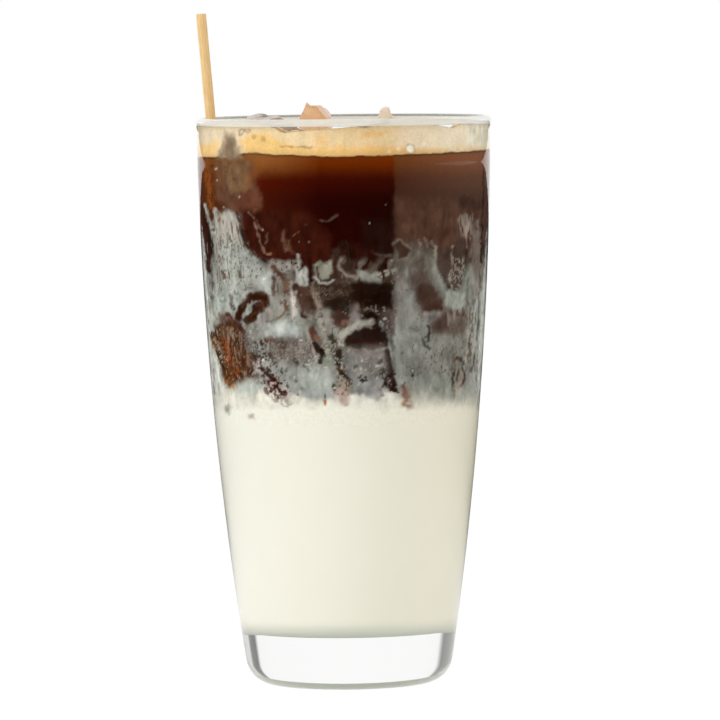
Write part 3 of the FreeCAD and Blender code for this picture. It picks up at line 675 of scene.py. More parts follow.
        (-8, 76.4), (-12, 78))),
    ("#5A5A50", .85, .3, .2, (.5, .6), ((-11.8, 86.8), (-9.6, 86.9), (-8.4, 87))),
    ("#5A5A50", .85, .3, .1, (.4, .6), ((-11, 86), (-9.4, 84.4), (-7.9, 83.3))),
    ("#4A4A44", .9, .3, 0, .8, ((-7.7, 84.2),)),
    ("#2A2020", .9, .35, 0, (1.2, .8), ((-13.3, 87.4), (-12.3, 86.6))),
    ("#6E6E66", .8, .35, 0, .8, ((-11.5, 79.9),)),
    ("#2A1C10", .95, .4, .1, (1.2, 1.5), ((-1.7, 89.4), (-2, 86.4), (-1.4, 83.8))),
    ("#A8804A", .45, .42, .1, (.5, .4), ((-.7, 86), (-.9, 84.6))),
    ("#A8804A", .6, .3, .1, .6, ((-1.6, 85),)),
    ("#2A1408", .95, .4, .1, (1.2, 1.6), ((-1.2, 83.8), (.2, 82.2), (1, 80.6))),
    ("#9E9081", .95, .8, 0, None, ((-2.4, 82.6), (-.4, 82.6), (1.4, 80), (1, 77.6), (-2.2, 77.6))),
    ("#3A3018", .9, .4, .12, (1.2, .9), ((-3.2, 80.4), (-2.4, 79.2))),
    ("#8A3A30", .85, .3, 0, .6, ((.2, 79.4),)),
    ("#B0978C", .85, 1.2, 0, (3.2, 2.4), ((-1.6, 78.2), (-.4, 76.4))),
    ("#2E1A0A", .85, .3, 0, (.4, .5), ((-5.8, 78.6), (-5.7, 77.4))),
    ("#9A5A20", .9, .4, 0, (.7, .6), ((-5.8, 76.4), (-5.7, 75.6))),
    ("#D8C0A8", .43, .72, 0, (.5, .4), ((-10.4, 75.2), (-8, 74.4))),
    ("#2E2620", .85, .8, .82, None, ((-21.6, 93), (-12.4, 93.4), (-9, 93.4), (-8.6, 87.6), (-14, 86.6),
        (-21.6, 88.4))),
    ("#A5A09A", .8, .8, .85, None, ((-21.6, 93), (-12.4, 93.4), (-9, 93.4), (-8.6, 87.6), (-14, 86.6),
        (-21.6, 88.4))),
    ("#2E2A26", .85, .8, .85, None, ((.4, 88.4), (10.4, 88), (11.4, 80), (5, 78.4), (-1, 82))),
    ("#B0AEA9", .8, .8, .86, None, ((.4, 88.4), (10.4, 88), (11.4, 80), (5, 78.4), (-1, 82))),
    ("#5A2A1C", .8, .8, .8, None, ((-21.6, 84), (-17, 83.6), (-14.6, 78.4), (-18.6, 77.4), (-22, 80))),
    ("#3A2A20", .8, .8, .75, None, ((-4, 93.6), (-1.6, 93), (.6, 84), (1.4, 78), (-2.6, 77.6), (-3, 84))),
    ("#5A3A22", .8, .5, -.86, None, ((-33.8, 125), (-26.6, 124), (-24.6, 117), (-27, 109), (-33.4, 109))),
    ("#5E4A3A", .8, .5, .86, None, ((-33.6, 122), (-25, 119), (-21, 112), (-26, 103), (-33.6, 103))),
    ("#6A5A4E", .8, .5, -.8, None, ((31, 104), (34.6, 106), (34.2, 84), (31, 84), (30.4, 96))),
    ("#4E4036", .8, .5, .86, None, ((13.6, 106), (18, 106), (24, 95), (31, 92), (31, 79), (14, 79))),
    ("#BEC3C0", .9, 1.8, 0, None, ((-19.6, 96.4), (-14.6, 97.4), (-12.4, 96), (-12.6, 93.8), (-16, 93),
        (-20, 94.4))),
    ("#B6BAB3", .8, 1.6, 0, None, ((-11, 84), (-5.6, 84.4), (-4.4, 79), (-10, 77.8))),
    ("#1E0E04", .9, .4, .62, None, ((-34.6, 95.6), (-31, 97.4), (-28, 95), (-24, 88), (-24.6, 83.4),
        (-30, 81.6), (-33, 88))),
    ("#B4A898", .8, .3, .84, None, ((-34.6, 95.6), (-31, 97.4), (-27, 95), (-22.6, 90), (-24.6, 83.4),
        (-30, 81.6), (-33, 88))),
    ("#2A1610", .85, .5, .7, None, ((-25.6, 92), (-21, 92.8), (-17, 86), (-14, 79), (-17.6, 77),
        (-21.6, 80.6))),
    ("#241008", .85, .5, .72, None, ((11, 86.4), (13, 86), (14.6, 79), (11.6, 78.8), (8.6, 80))),
    # right, below
    ("#6A5E5A", .9, .8, .12, (1.8, 1.6), ((12.8, 104.8), (12.8, 99), (12.9, 94))),
    ("#8A8A84", .9, 1.6, 0, (4, 4.6), ((16, 103), (16, 96), (17, 88))),
    ("#979990", .95, .5, 0, (1.2, 1.7), ((13.4, 96.6), (13.4, 89), (13.8, 82), (14.2, 79.4))),
    ("#5E625C", .8, .5, 0, (1, .8), ((11.9, 93.6), (12.2, 88.6), (12.4, 85))),
    ("#45322A", .9, 1.8, 0, (4.6, 4.6), ((20.6, 104.4), (22.6, 101.9))),
    ("#3E2A22", .9, .5, 0, (2.2, 2.4), ((21.4, 100.8), (24, 100.7))),
    ("#989C93", .95, .9, 0, None, ((26.2, 105), (31.4, 105), (31.6, 100.8), (28, 100.6), (26, 101.4))),
    # lilac grey under the dark ellipsoid: a painted shadow
    ("#8A8480", .85, .9, 0, (1.4, 1.4), ((20.8, 99.2), (24.4, 99))),
    ("#5F5048", .92, 1.2, 0, None, ((21.6, 94), (22.6, 97.4), (25, 99.4), (27.4, 100.4), (31.2, 100),
        (32, 96.4), (30.6, 92.6), (25, 93))),
    ("#4A3833", .9, 1, 0, None, ((22.4, 95.4), (24, 98), (26.4, 99), (26.6, 95.4), (24, 94.4))),
    ("#8A8A80", .8, 1.4, 0, (2.6, 2.6), ((23, 92.6), (30, 92.4))),
    ("#4E3C34", .85, .3, 0, (.7, .3), ((27.5, 99.4), (27.6, 101))),
    ("#4E3C34", .85, .3, 0, (.8, .3), ((29.2, 99), (29.1, 100.8))),
    ("#4E3C34", .85, .3, 0, (.8, .3), ((30.8, 98.8), (30.7, 100.7))),
    ("#9C948A", .54, .42, 0, (.4, .3), ((28.3, 99.6), (28.4, 97))),
    ("#9C948A", .54, .42, 0, (.4, .3), ((26.7, 99.2), (26.9, 96.4))),
    ("#2E2E26", .9, .35, 0, (.6, .9), ((21.4, 96), (21.7, 94), (21.4, 92.4))),
    ("#3A3E38", .85, .4, 0, (.6, .9), ((20, 92.6), (20.6, 91), (21.6, 90))),
    ("#8A8A7C", .43, .52, 0, (.6, .5), ((21.2, 89.4), (23, 88.8), (25, 89.2))),
    ("#6A6A64", .7, .4, .2, (.8, .7), ((16.8, 95.6), (18.4, 95))),
    ("#5A6058", .8, .4, 0, .8, ((14.7, 89),)),
    # a soft grey patch painted as a shadow, with dark dots and a ring on it
    ("#7A7C74", .85, 1.6, 0, (3.2, 2.2), ((17.6, 87.2), (17.4, 84))),
    ("#24241E", .9, .3, 0, .6, ((16.7, 85.2),)),
    ("#24241E", .9, .3, 0, 1, ((17.3, 84.2),)),
    ("#DCDCD4", .9, .25, 0, .5, ((17.3, 84.2),)),
    ("#24241E", .9, .3, 0, .8, ((17.4, 83),)),
    ("#7E827A", .5, .62, 0, (.6, .6), ((24, 86.4), (25.4, 88), (26.6, 87))),
    ("#7A7C74", .7, .5, 0, 1, ((25, 82.4),)),
    ("#8A8E86", .8, 1.6, 0, (3, 2.4), ((22, 81.6), (23.6, 80.6))),
    ("#8B8E85", .85, 1.8, 0, (5, 5), ((20, 80), (30, 79))),
    ("#6E5C50", .8, .5, .12, (.9, 1), ((28, 90.6), (28.2, 87), (28, 84.4))),
    ("#6A3A30", .8, .35, 0, .9, ((29, 87.6),)),
    ("#4A3A32", .9, .35, .15, (1, 1.2), ((29.6, 87.6), (30.6, 85.8))),
    ("#9A9084", .85, .5, .1, (1.2, 1), ((30, 84.2), (30, 80.4))),
    ("#4A2A20", .9, .3, 0, (.6, .7), ((30.4, 85), (31, 83), (30.6, 80.8), (29.4, 79.6))),
    ("#4A2A20", .85, .3, 0, (.5, .6), ((29.4, 84.4), (28.8, 82), (29.2, 80))),
    ("#3A3020", .9, .35, .1, (.7, .9), ((27.8, 83.4), (27.9, 80), (27.9, 78))),
    ("#7A7430", .8, .3, .1, .6, ((28, 79.4),)),
    ("#A89C8E", .8, .7, 0, (1.1, .9), ((29.4, 81), (29.2, 78))),
    ("#6A6A60", .75, .4, .12, (.6, .6), ((31.4, 105), (32, 102.4), (31.6, 100.6))),
    ("#6A5A50", .8, .35, .1, (.5, .6), ((33, 99.2), (33.2, 96.8), (32.8, 94.2))),
    ("#C8C0B0", .61, .47, 0, (.5, .6), ((31.8, 95), (32.2, 92.4))),
    ("#5A4A3A", .85, .35, .1, (.6, .7), ((32.6, 93.4), (32.4, 90.6), (32.4, 88))),
    ("#5A4E3E", .8, .4, .2, (1, .9), ((31.6, 88), (32.4, 86.6))),
    ("#5E5248", .8, .35, .12, (.5, .6), ((33.8, 88.2), (33.2, 85.6), (32.6, 83.8))),
    ("#5A3428", .9, .6, 0, (1.2, 1.4), ((14.8, 80), (15.4, 78.8))),
    ("#7E4826", .9, .9, 0, (1.6, 2.2), ((15.8, 79), (15.6, 76.4))),
    ("#6A2E1C", .9, .7, .1, (1.4, 1.8), ((15.2, 78.4), (16.2, 77.4))),
    ("#B98A68", .75, .9, 0, (1.5, 1.3), ((15, 75.4), (16.4, 74.9))),
    ("#4A2A1A", .8, .5, 0, (.9, .8), ((15.2, 75.2), (16, 75))),
    ("#6A6A5E", .7, .4, 0, .6, ((18.6, 78.2),)),
    ("#C2BCAE", .6, 3, 0, None, ((16, 78.6), (38, 78.8), (38, 75), (16, 75))),
    # brown sunk between the lobes, speckled
    ("#3A2014", .5, 1.8, .2, None, ((-28, 97), (-22.4, 97.6), (-21.8, 86), (-26.4, 85))),
    ("#4A1E0C", .4, 1.4, .3, None, ((-27, 88), (-22.6, 88.6), (-22.4, 81.6), (-25, 81.6))),
    ("#33231A", .45, 1.8, .25, None, ((-20, 93.6), (-12.4, 93.8), (-13, 86.4), (-19, 86.8))),
    ("#2E2018", .55, 1.2, .15, None, ((-3, 93), (1, 93.2), (1.4, 86.6), (-2, 86.2))),
    ("#1E0E08", .45, 1.6, .1, None, ((4.4, 103), (12.2, 103.4), (12.2, 90.6), (5.6, 91.2))),
    ("#4A382E", .55, 1.5, .1, None, ((12.6, 113), (16.4, 112.6), (16, 107.4), (13, 107.8))),
    ("#20120C", .4, 1.4, .1, None, ((-8, 107.2), (1.2, 107.4), (1.4, 102.4), (-7, 102.2))),
    ("#260A04", .7, 1.6, 0, None, ((-2, 118.4), (9, 118.4), (8.4, 114.6), (3, 113.8), (-1.6, 114.8))),
    ("#9A9C94", .4, 2, .2, None, ((-32, 106), (-28, 110), (-26, 104), (-29, 101.6))),
    ("#684A34", .5, 1.6, 0, None, ((-33, 97), (-30, 98.4), (-26.6, 93), (-24.6, 86), (-26.6, 82),
        (-30, 83.6), (-32.6, 90))),
    ("#8A8078", .35, 1.4, 0, None, ((0, 91), (10, 91.4), (11, 84), (2, 83))),
    ("#7A6E66", .3, 1.4, 0, None, ((-21, 94), (-10, 93.6), (-11, 86), (-19.6, 86.4))),
    ("#3A1806", .75, .9, -.5, None, ((-33, 98), (-30, 98.6), (-26.4, 93), (-24.4, 86), (-26.6, 82),
        (-30, 83), (-32.6, 90))),
    ("#A89078", .45, .9, -.78, None, ((-32.4, 96), (-29, 96.6), (-25.6, 92), (-25, 86), (-30, 86))),
    ("#A84E12", .5, .6, .55, None, ((-33, 94), (-30.6, 93), (-27.4, 84), (-29.4, 82.6), (-31.6, 87))),
    # soft spots in the milk
    ("#8A8A78", .85, 1.3, 0, 2, ((-31.3, 74.6),)),
    ("#A28A6C", .7, 1, 0, 1.6, ((-25, 72.6),)),
)


def blend_codes(value, places, codes):
    """Linear colours between sRGB codes set at places along a value."""
    table = np.array([linear(code) for code in codes])
    return np.stack([np.interp(value, places, table[:, k]) for k in range(3)], axis=1)


def coffee_colours_and_light(across, up):
    """The plain coffee: amber under the foam, lighter at the left edge as painted light through that thin
    edge, near black at the middle, and lighter and browner right of a sharp edge as a painted reflection of
    the softbox.
    """
    places = (-38, -21, -6, 12.6, 13.4, 38)
    glow = blend_codes(across, places, ("#693C15", "#8E5628", "#6E2B02", "#742C01", "#6E3D18", "#8A5840"))
    body = blend_codes(across, places, ("#5A2B0C", "#4C1002", "#3A0700", "#380A02", "#4A271A", "#664636"))
    deep = blend_codes(across, places, ("#54290D", "#3F1205", "#250200", "#200300", "#41261B", "#4F392E"))
    colour = deep + (body - deep) * ramp(up, 129, 135.5)[:, None]
    return colour + (glow - colour) * ramp(up, 134.5, 141)[:, None]


# added to the height at which a point shows, in millimetres, so that marks in the middle of the marbled
# band lie at their real height
MARK_LIFT = 1.72
# of the glass
REFRACTION = 1.5
# marks that lie wholly further than this from the axis, in millimetres, are kept to the front; among them
# are the painted highlights and reflections at the glass's edges
EDGE_MARKS = 33.8


class Painter:
    """Lays colour on points of the drink's side. Behind, the same marks come back mirrored and drawn out."""

    def __init__(self, points, barrel):
        """Works out where each point shows from the front, in millimetres, and its share of each noise."""
        self.points = points = np.asarray(points, dtype=float) / MM
        x, y, z = points.T
        bearing = np.degrees(np.arctan2(x, -y))
        folded = np.where(abs(bearing) > 90, np.sign(bearing) * (180 - abs(bearing)), bearing)
        behind = ramp(abs(bearing), 92, 120)
        # light bends at the wall, so the front shows a little more than half of the drink's side
        seen = np.linspace(0, 1, 300)
        wall = barrel.inside(MID_HEIGHT) / barrel.outside(MID_HEIGHT)
        bent = seen / REFRACTION
        turned = np.degrees(np.arcsin(seen) + np.arcsin(bent / wall) - np.arcsin(bent))
        reach = np.interp(abs(folded), turned, seen) * np.sign(folded)
        heights = np.linspace(10, 150, 60)
        outside = np.interp(z, heights, [barrel.outside(height * MM) / MM for height in heights])
        drift = [clouds(points, 9.0, seed, 2) * behind * 5 for seed in (3, 4)]
        wobble = [clouds(points, 1.5, seed, 3) * 0.2 for seed in (5, 6)]
        # seen from a little above, the near side stands lower than the sides
        dip = outside * np.cos(np.radians(folded)) * (VIEW_HEIGHT - z) / VIEW_DISTANCE
        self.across = reach * outside + drift[0] + wobble[0]
        self.plain_up = z + MARK_LIFT - dip
        self.up = self.plain_up + drift[1] + wobble[1]
        self.front = 1 - ramp(abs(bearing), 80, 87)
        self.ragged = clouds(points, 1.1, 7, 3)
        self.tone = clouds(points, np.array([1.6, 1.6, 2.4]), 9, 3)
        # specks, and streaks that run down and a little to the right, both spread evenly from 0 to 1
        self.specks = ranked(clouds(points, 0.55, 8, 2))
        leaning = points + np.column_stack([z * 0.22, z * 0, z * 0])
        self.streaks = ranked(clouds(leaning, np.array([0.6, 0.6, 4.2]), 10, 2))
        self.rgb = np.zeros((len(points), 3))

    def lay(self, cover, code, chosen=slice(None)):
        """Covers the chosen points with a colour that varies a little from place to place."""
        colour = np.array(linear(code)) * (1 + 0.2 * self.tone[chosen])[..., None]
        self.rgb[chosen] += (colour - self.rgb[chosen]) * np.asarray(cover)[..., None]

    def marks(self, marks):
        """Lays a table's marks one over another."""
        for code, opacity, soft, broken, width, points in marks:
            line = np.array(points, dtype=float)
            widest = max(np.atleast_1d(width)) if width else 0
            margin = widest / 2 + soft + 1
            low, high = line.min(axis=0) - margin, line.max(axis=0) + margin
            chosen = np.flatnonzero((self.across > low[0]) & (self.across < high[0])
                                    & (self.up > low[1]) & (self.up < high[1]))
            if not len(chosen):
                continue
            place = np.column_stack([self.across[chosen], self.up[chosen]])
            away = area_distance(place, line) if width is None else stroke_distance(place, line, width)
            away = away + self.ragged[chosen] * min(0.3, 0.08 + soft * 0.3)
            cover = ramp(-away, -soft * 0.75, soft * 0.75) * opacity
            if abs(line[:, 0]).min() > EDGE_MARKS:
                cover *= self.front[chosen]
            if broken:
                grain = (self.specks if broken > 0 else self.streaks)[chosen]
                cover *= ramp(grain, abs(broken) - 0.08, abs(broken) + 0.08)
            self.lay(cover, code, chosen)


def ranked(values):
    """The values' order, spread evenly from 0 to 1."""
    order = np.empty(len(values))
    order[np.argsort(values)] = np.linspace(0, 1, len(values))
    return order


def segment_distance(place, start, end):
    """Distance of each place from a straight run, and how far along it the nearest point lies, 0 to 1."""
    run = end - start
    along = np.clip((place - start) @ run / max(run @ run, 1e-9), 0, 1)
    return np.linalg.norm(place - start - along[:, None] * run, axis=1), along


def stroke_distance(place, line, width):
    """Signed distance from a tapering stroke's edge, negative inside. One point makes a round dot."""
    widths = np.atleast_1d(width)
    if len(line) == 1:
        return np.linalg.norm(place - line[0], axis=1) - widths[0] / 2
    runs = len(line) - 1
    best = np.full(len(place), 1e9)
    for k in range(runs):
        away, along = segment_distance(place, line[k], line[k + 1])
        half = (widths[0] + (widths[-1] - widths[0]) * (k + along) / runs) / 2
        best = np.minimum(best, away - half)
    return best


def area_distance(place, line):
    """Signed distance from a closed outline, negative inside."""
    best, inside = np.full(len(place), 1e9), np.zeros(len(place), dtype=bool)
    for start, end in zip(line, np.roll(line, -1, axis=0)):
        best = np.minimum(best, segment_distance(place, start, end)[0])
        crosses = (start[1] > place[:, 1]) != (end[1] > place[:, 1])
        rise = end[1] - start[1] if end[1] != start[1] else 1e-9
        edge = start[0] + (end[0] - start[0]) * (place[:, 1] - start[1]) / rise
        inside ^= crosses & (place[:, 0] < edge)
    return np.where(inside, -best, best)


# the milk's colours as coffee sinks into it: from where and to where each gives way to the next, and how
# far the veins carry it up and down, in millimetres
SUNKEN_COFFEE = (
    ("#DDD7CA", 76, 80, 1),
    ("#A3A49C", 79.5, 88, 3),
    ("#766B63", 86, 108, 9),
    ("#46362D", 96, 118, 10),
    ("#220903", 108, 121, 8),
)


def paint_ground(painter, lumps, veins):
    """The milk, the greys and browns where coffee has sunk into it, and the plain coffee."""
    across, up = painter.across, painter.up
    # milk, painted a little darker and yellower towards the right as shade, away from the key lamp at the
    # left, and darker and greener at its foot as painted light through the thick base
    painter.rgb[:] = blend_codes(across + lumps, (-38, -10, 38), ("#F4F1E4", "#F6F1E2", "#F0EAD4"))
    foot = np.array(linear("#DADDCE")) - painter.rgb
    painter.rgb += foot * (1 - ramp(painter.plain_up, 13.5, 18.5))[:, None]
    level = up + lumps * 3
    for code, low, high, streaks in SUNKEN_COFFEE:
        painter.lay(ramp(level + veins * streaks, low, high), code)
    line = np.interp(across, (-26, -17, 12.4, 13.4), (118.6, 114.6, 113.8, 118.4))
    share = ramp(up - line + lumps * 2.4 + veins * 1.4, -2.2, 2.2)[:, None]
    painter.rgb += (coffee_colours_and_light(across, up) - painter.rgb) * share


def paint_veins(painter, veins):
    """A warmer tone, fine veins of coffee in patches, and a fine grain over the marbled band."""
    up, points = painter.up, painter.points
    warmth = (0.005, -0.02, -0.045)
    painter.rgb *= 1 + (ramp(up, 76, 84) * (1 - ramp(up, 112, 122)))[:, None] * warmth
    marbled = ramp(up, 80, 86) * (1 - ramp(up, 112, 120))
    thin = clouds(points, np.array([2.4, 2.4, 3.6]), 13, 3)
    patches = ramp(clouds(points, 6.0, 14, 2), 0.0, 0.35)
    painter.lay(marbled * patches * (1 - ramp(abs(thin), 0.02, 0.09)) * 0.65, "#33231A")
    marbled = ramp(up, 74, 80) * (1 - ramp(up, 124, 130))
    grain = 0.18 * veins + 0.1 * (painter.streaks + painter.specks - 1)
    painter.rgb *= (1 + marbled * grain)[:, None]


def paint_foam(painter, lumps, veins):
    """The foam: orange low down, paler above, with a dark line under its foot."""
    across = painter.across
    foot = painter.plain_up - np.interp(across, *np.array(FOAM_FOOT).T) - 0.25 * lumps - 0.1 * veins
    painter.lay(ramp(foot, -0.7, -0.15) * 0.8, "#3A1A08")
    froth = blend_codes(across, (-38, -20, 0, 13, 25, 38),
                        ("#FFD390", "#FFD288", "#FCCB82", "#F2BE78", "#FFD79A", "#FFE6BC"))
    froth *= (1 - 0.16 * (1 - ramp(foot, 0.3, 2)))[:, None]
    pale = blend_codes(across, (-38, -20, 0, 12, 16, 38),
                       ("#F2DFC0", "#FAE0B4", "#F6D6A4", "#F0D2A2", "#F6DDBC", "#FCEED2"))
    start = np.interp(across, (-36, -25, -20, -17, -10, 38), (144.8, 147, 147, 145.8, 143.7, 143.6))
    froth += (pale - froth) * ramp(painter.plain_up + lumps * 0.9 - start, -1.1, 1.1)[:, None]
    froth *= (1 + 0.06 * veins + 0.05 * (painter.specks - 0.5))[:, None]
    painter.rgb += (froth - painter.rgb) * ramp(foot, -0.2, 0.2)[:, None]


def paint_side(points, barrel):
    """The colour of every point on the side of the milk, the marbled band, the coffee and the foam."""
    painter = Painter(points, barrel)
    lumps = clouds(painter.points, np.array([5.0, 5.0, 9.0]), 11, 4)
    veins = clouds(painter.points + lumps[:, None] * 2.2, np.array([1.8, 1.8, 4.6]), 12, 3)
    paint_ground(painter, lumps, veins)
    painter.marks(COFFEE_AND_ICE)
    painter.marks(MARBLING)
    paint_veins(painter, veins)
    paint_foam(painter, lumps, veins)
    painter.marks(FOAM)
    return np.clip(painter.rgb, 0, 1)


# ---------------------------------------------------------------- materials


def piece_noise(tree, scale, detail):
    """Noise that keeps to the piece, in lumps of about 1 / scale metres."""
    place = add(tree, "ShaderNodeTexCoord")
    noise = add(tree, "ShaderNodeTexNoise", {"Scale": scale, "Detail": detail},
                {"Vector": place.outputs["Object"]})
    return noise.outputs[0]


def bumped(tree, height, strength, depth, hollow=False):
    """The surface's direction where a height is raised, or hollowed, by up to a depth in metres."""
    bump = add(tree, "ShaderNodeBump", {"Strength": strength, "Distance": depth, "invert": hollow},
               {"Height": height})
    return bump.outputs[0]


def varied_paint(tree, value, span, shades):
    """The colour painted on the points, times a shade that changes over a value's span."""
    paint = add(tree, "ShaderNodeAttribute", {"attribute_name": "paint"})
    shade = add(tree, "ShaderNodeMapRange", {
        "From Min": span[0], "From Max": span[1], "To Min": shades[0], "To Max": shades[1],
    }, {"Value": value})
    tone = add(tree, "ShaderNodeVectorMath", {"operation": "SCALE"},
               {0: paint.outputs["Color"], "Scale": shade.outputs[0]})
    return tone.outputs[0]


def mixed(tree, share, first, second):
    """One shader giving way to another as a share goes from 0 to 1."""
    return add(tree, "ShaderNodeMixShader", links={0: share, 1: first.outputs[0], 2: second.outputs[0]})


def clear_glass_material():
    """Soda-lime glass, pressed and fire-polished: clear, hardly tinted, with a mirror-smooth skin."""
    material, tree = new_material("glass_fire_polished")
    tint = (*sizes_of("glass").tint, 1)
    body = add(tree, "ShaderNodeBsdfPrincipled", {
        "Base Color": tint, "Roughness": 0.0, "IOR": 1.5, "Transmission Weight": 1.0,
    })
    # faint waviness left by the mould, about a hundredth of a millimetre deep and some 15 mm long
    tree.links.new(bumped(tree, piece_noise(tree, 65.0, 0.0), 0.12, 0.1 * MM), body.inputs["Normal"])
    path = add(tree, "ShaderNodeLightPath")
    through = add(tree, "ShaderNodeMath", {"operation": "MAXIMUM"},
                  {0: path.outputs["Is Shadow Ray"], 1: path.outputs["Is Diffuse Ray"]})
    clear = add(tree, "ShaderNodeBsdfTransparent", {"Color": tint})
    return finish_material(material, mixed(tree, through.outputs[0], body, clear).outputs[0])


def lip_painted_highlight_material():
    """A painted highlight at the fire-polished lip of the glass: a soft white line, its colour painted on
    the points, partly see-through.
    """
    material, tree = new_material("glass_lip_gleam")
    paint = add(tree, "ShaderNodeAttribute", {"attribute_name": "paint"})
    body = add(tree, "ShaderNodeBsdfPrincipled", {"Roughness": 0.5, "IOR": 1.5, "Alpha": 0.65},
               {"Base Color": paint.outputs["Color"]})
    return finish_material(material, body.outputs[0])


def drink_material(name, roughness, fleck_mm, fleck):
    """A liquid wetted to the glass: its own colour with fine clouding and next to no shine of its own."""
    material, tree = new_material(name)
    noise = piece_noise(tree, 1000 / fleck_mm, 2.0)
    tone = varied_paint(tree, noise, (0.25, 0.75), (1 - fleck, 1 + fleck))
    body = add(tree, "ShaderNodeBsdfPrincipled", {
        "Roughness": roughness, "IOR": 1.35, "Specular IOR Level": 0.0,
    }, {"Base Color": tone})
    return finish_material(material, body.outputs[0])


def foam_material():
    """Whipped milk foam with coffee in it: matte, tan, full of fine bubbles."""
    material, tree = new_material("milk_foam")
    # bubbles of about 0.5 mm between the larger ones of the mesh
    place = add(tree, "ShaderNodeTexCoord")
    cells = add(tree, "ShaderNodeTexVoronoi", {"Scale": 1900.0}, {"Vector": place.outputs["Object"]})
    depth = cells.outputs["Distance"]
    body = add(tree, "ShaderNodeBsdfPrincipled", {
        "Roughness": 0.62, "IOR": 1.35, "Specular IOR Level": 0.12,
    }, {"Base Color": varied_paint(tree, depth, (0.0, 0.7), (1.04, 0.92)),
        "Normal": bumped(tree, depth, 0.35, 0.2 * MM, hollow=True)})
    return finish_material(material, body.outputs[0])


def ice_material(name, cloud, wet, clearness):
    """Factory tube ice, melting: cloudy with fine air, wet with coffee in places, its skin uneven."""
    material, tree = new_material(name)
    noise = piece_noise(tree, 260.0, 3.0)
    tone = add(tree, "ShaderNodeMix", {"data_type": "RGBA"}, {0: noise})
    tone.inputs[6].default_value = (*linear(cloud), 1)
    tone.inputs[7].default_value = (*linear(wet), 1)
    bump = bumped(tree, piece_noise(tree, 900.0, 2.0), 0.25, 0.3 * MM)
    rough = add(tree, "ShaderNodeMapRange", {"To Min": 0.04, "To Max": 0.3}, {"Value": noise})
    body = add(tree, "ShaderNodeBsdfPrincipled", {"IOR": 1.31, "Transmission Weight": clearness},
               {"Base Color": tone.outputs[2], "Roughness": rough.outputs[0], "Normal": bump})
    path = add(tree, "ShaderNodeLightPath")
    through = add(tree, "ShaderNodeMath", {"operation": "MULTIPLY", 1: 0.8},
                  {0: path.outputs["Is Shadow Ray"]})
    clear = add(tree, "ShaderNodeBsdfTransparent")
    return finish_material(material, mixed(tree, through.outputs[0], body, clear).outputs[0])


def reed_material(sizes):
    """Dried reed, cut and dried in the sun: straw yellow, with lengthwise fibres and a waxy, low sheen."""
    material, tree = new_material("reed_dried")
    place = add(tree, "ShaderNodeTexCoord")
    stretch = add(tree, "ShaderNodeMapping", {"Scale": (1, 1, 0.03)}, {"Vector": place.outputs["Object"]})
    fibres = add(tree, "ShaderNodeTexNoise", {"Scale": 1 / sizes.fibre, "Detail": 2.0},
                 {"Vector": stretch.outputs[0]}).outputs[0]
    body = add(tree, "ShaderNodeBsdfPrincipled", {"Roughness": 0.42, "IOR": 1.5},
               {"Base Color": varied_paint(tree, fibres, (0.3, 0.7), (0.86, 1.08)),
                "Normal": bumped(tree, fibres, 0.4, 0.1 * MM)})
    return finish_material(material, body.outputs[0])


# ---------------------------------------------------------------- operators


class BuildGlass(bpy.types.Operator):
    """The tall barrel glass, turned from its outline"""

    bl_idname = "iced_coffee.build_glass"
    bl_label = "Glass"

    WHITE, SHADE = "#F8F8F2", "#6E756A"  # of the painted highlight, white outside, and of the painted shade inside

    def execute(self, context):
        sizes = sizes_of("glass")
        barrel, turns = Barrel(sizes), even_turns(256)
        verts, faces = lathe(glass_profile(sizes, barrel), turns)
        new_piece("glass_body", verts, faces, clear_glass_material(), "clear_glass", "glass")
        # just under the lip's skin, a band painted as a highlight, white outside and shaded grey inside
        half, centre = lip_circle(sizes, barrel)
        verts, faces = lathe(arc_points(centre, half * 0.9, -30, 150, 25), turns)
        radii = np.hypot(verts[:, 0], verts[:, 1])
        inner = 1 - ramp(radii, centre[0] - half * 0.3, centre[0] - half * 0.1)
        white, shade = np.array(linear(self.WHITE)), np.array(linear(self.SHADE))
        paint = white + (shade - white) * inner[:, None]
        new_piece("glass_lip_gleam", verts, faces, lip_painted_highlight_material(), None, paint=paint)
        return {"FINISHED"}


class BuildDrink(bpy.types.Operator):
    """The milk, the marbled band and the coffee, each reaching just into the glass's wall"""

    bl_idname = "iced_coffee.build_drink"
    bl_label = "Drink"

    def execute(self, context):
        sizes, drink = sizes_of("glass"), sizes_of("drink")
        barrel = Barrel(sizes)

        def side(z):
            return barrel.inside(z) + drink.into_wall

        def wall(low, high, rows):
            return [(side(z), z) for z in np.linspace(low, high, rows)]

        def layer(node, slot, material, profile, turns):
            verts, faces = lathe(profile, turns)
            new_piece(node + "_layer", verts, faces, material, slot, node, paint=paint_side(verts, barrel))

        plain = front_fine_turns(0.7 * MM, 1.2 * MM, side(MID_HEIGHT))
        fine = front_fine_turns(0.31 * MM, 0.8 * MM, side(MID_HEIGHT))
        floor = sizes.base_thickness - drink.into_wall
        corner = corner_arc(side, floor, sizes.floor_round, 12)
        milk = [(r, floor) for r in np.linspace(0, corner[0][0], 10)[:-1]] + corner
        milk += wall(corner[-1][1], drink.milk_high, 70)[1:]
        layer("milk", "milk", drink_material("milk_whole", 0.4, 6.0, 0.006), milk, plain)
        layer("marbled", "milky_coffee", drink_material("milk_and_coffee_marbled", 0.4, 0.7, 0.05),
              wall(drink.milk_high, drink.marbled_high, 182), fine)
        layer("coffee", "coffee", drink_material("coffee_strong", 0.35, 0.9, 0.04),
              wall(drink.marbled_high, drink.coffee_high, 38), fine)
        return {"FINISHED"}


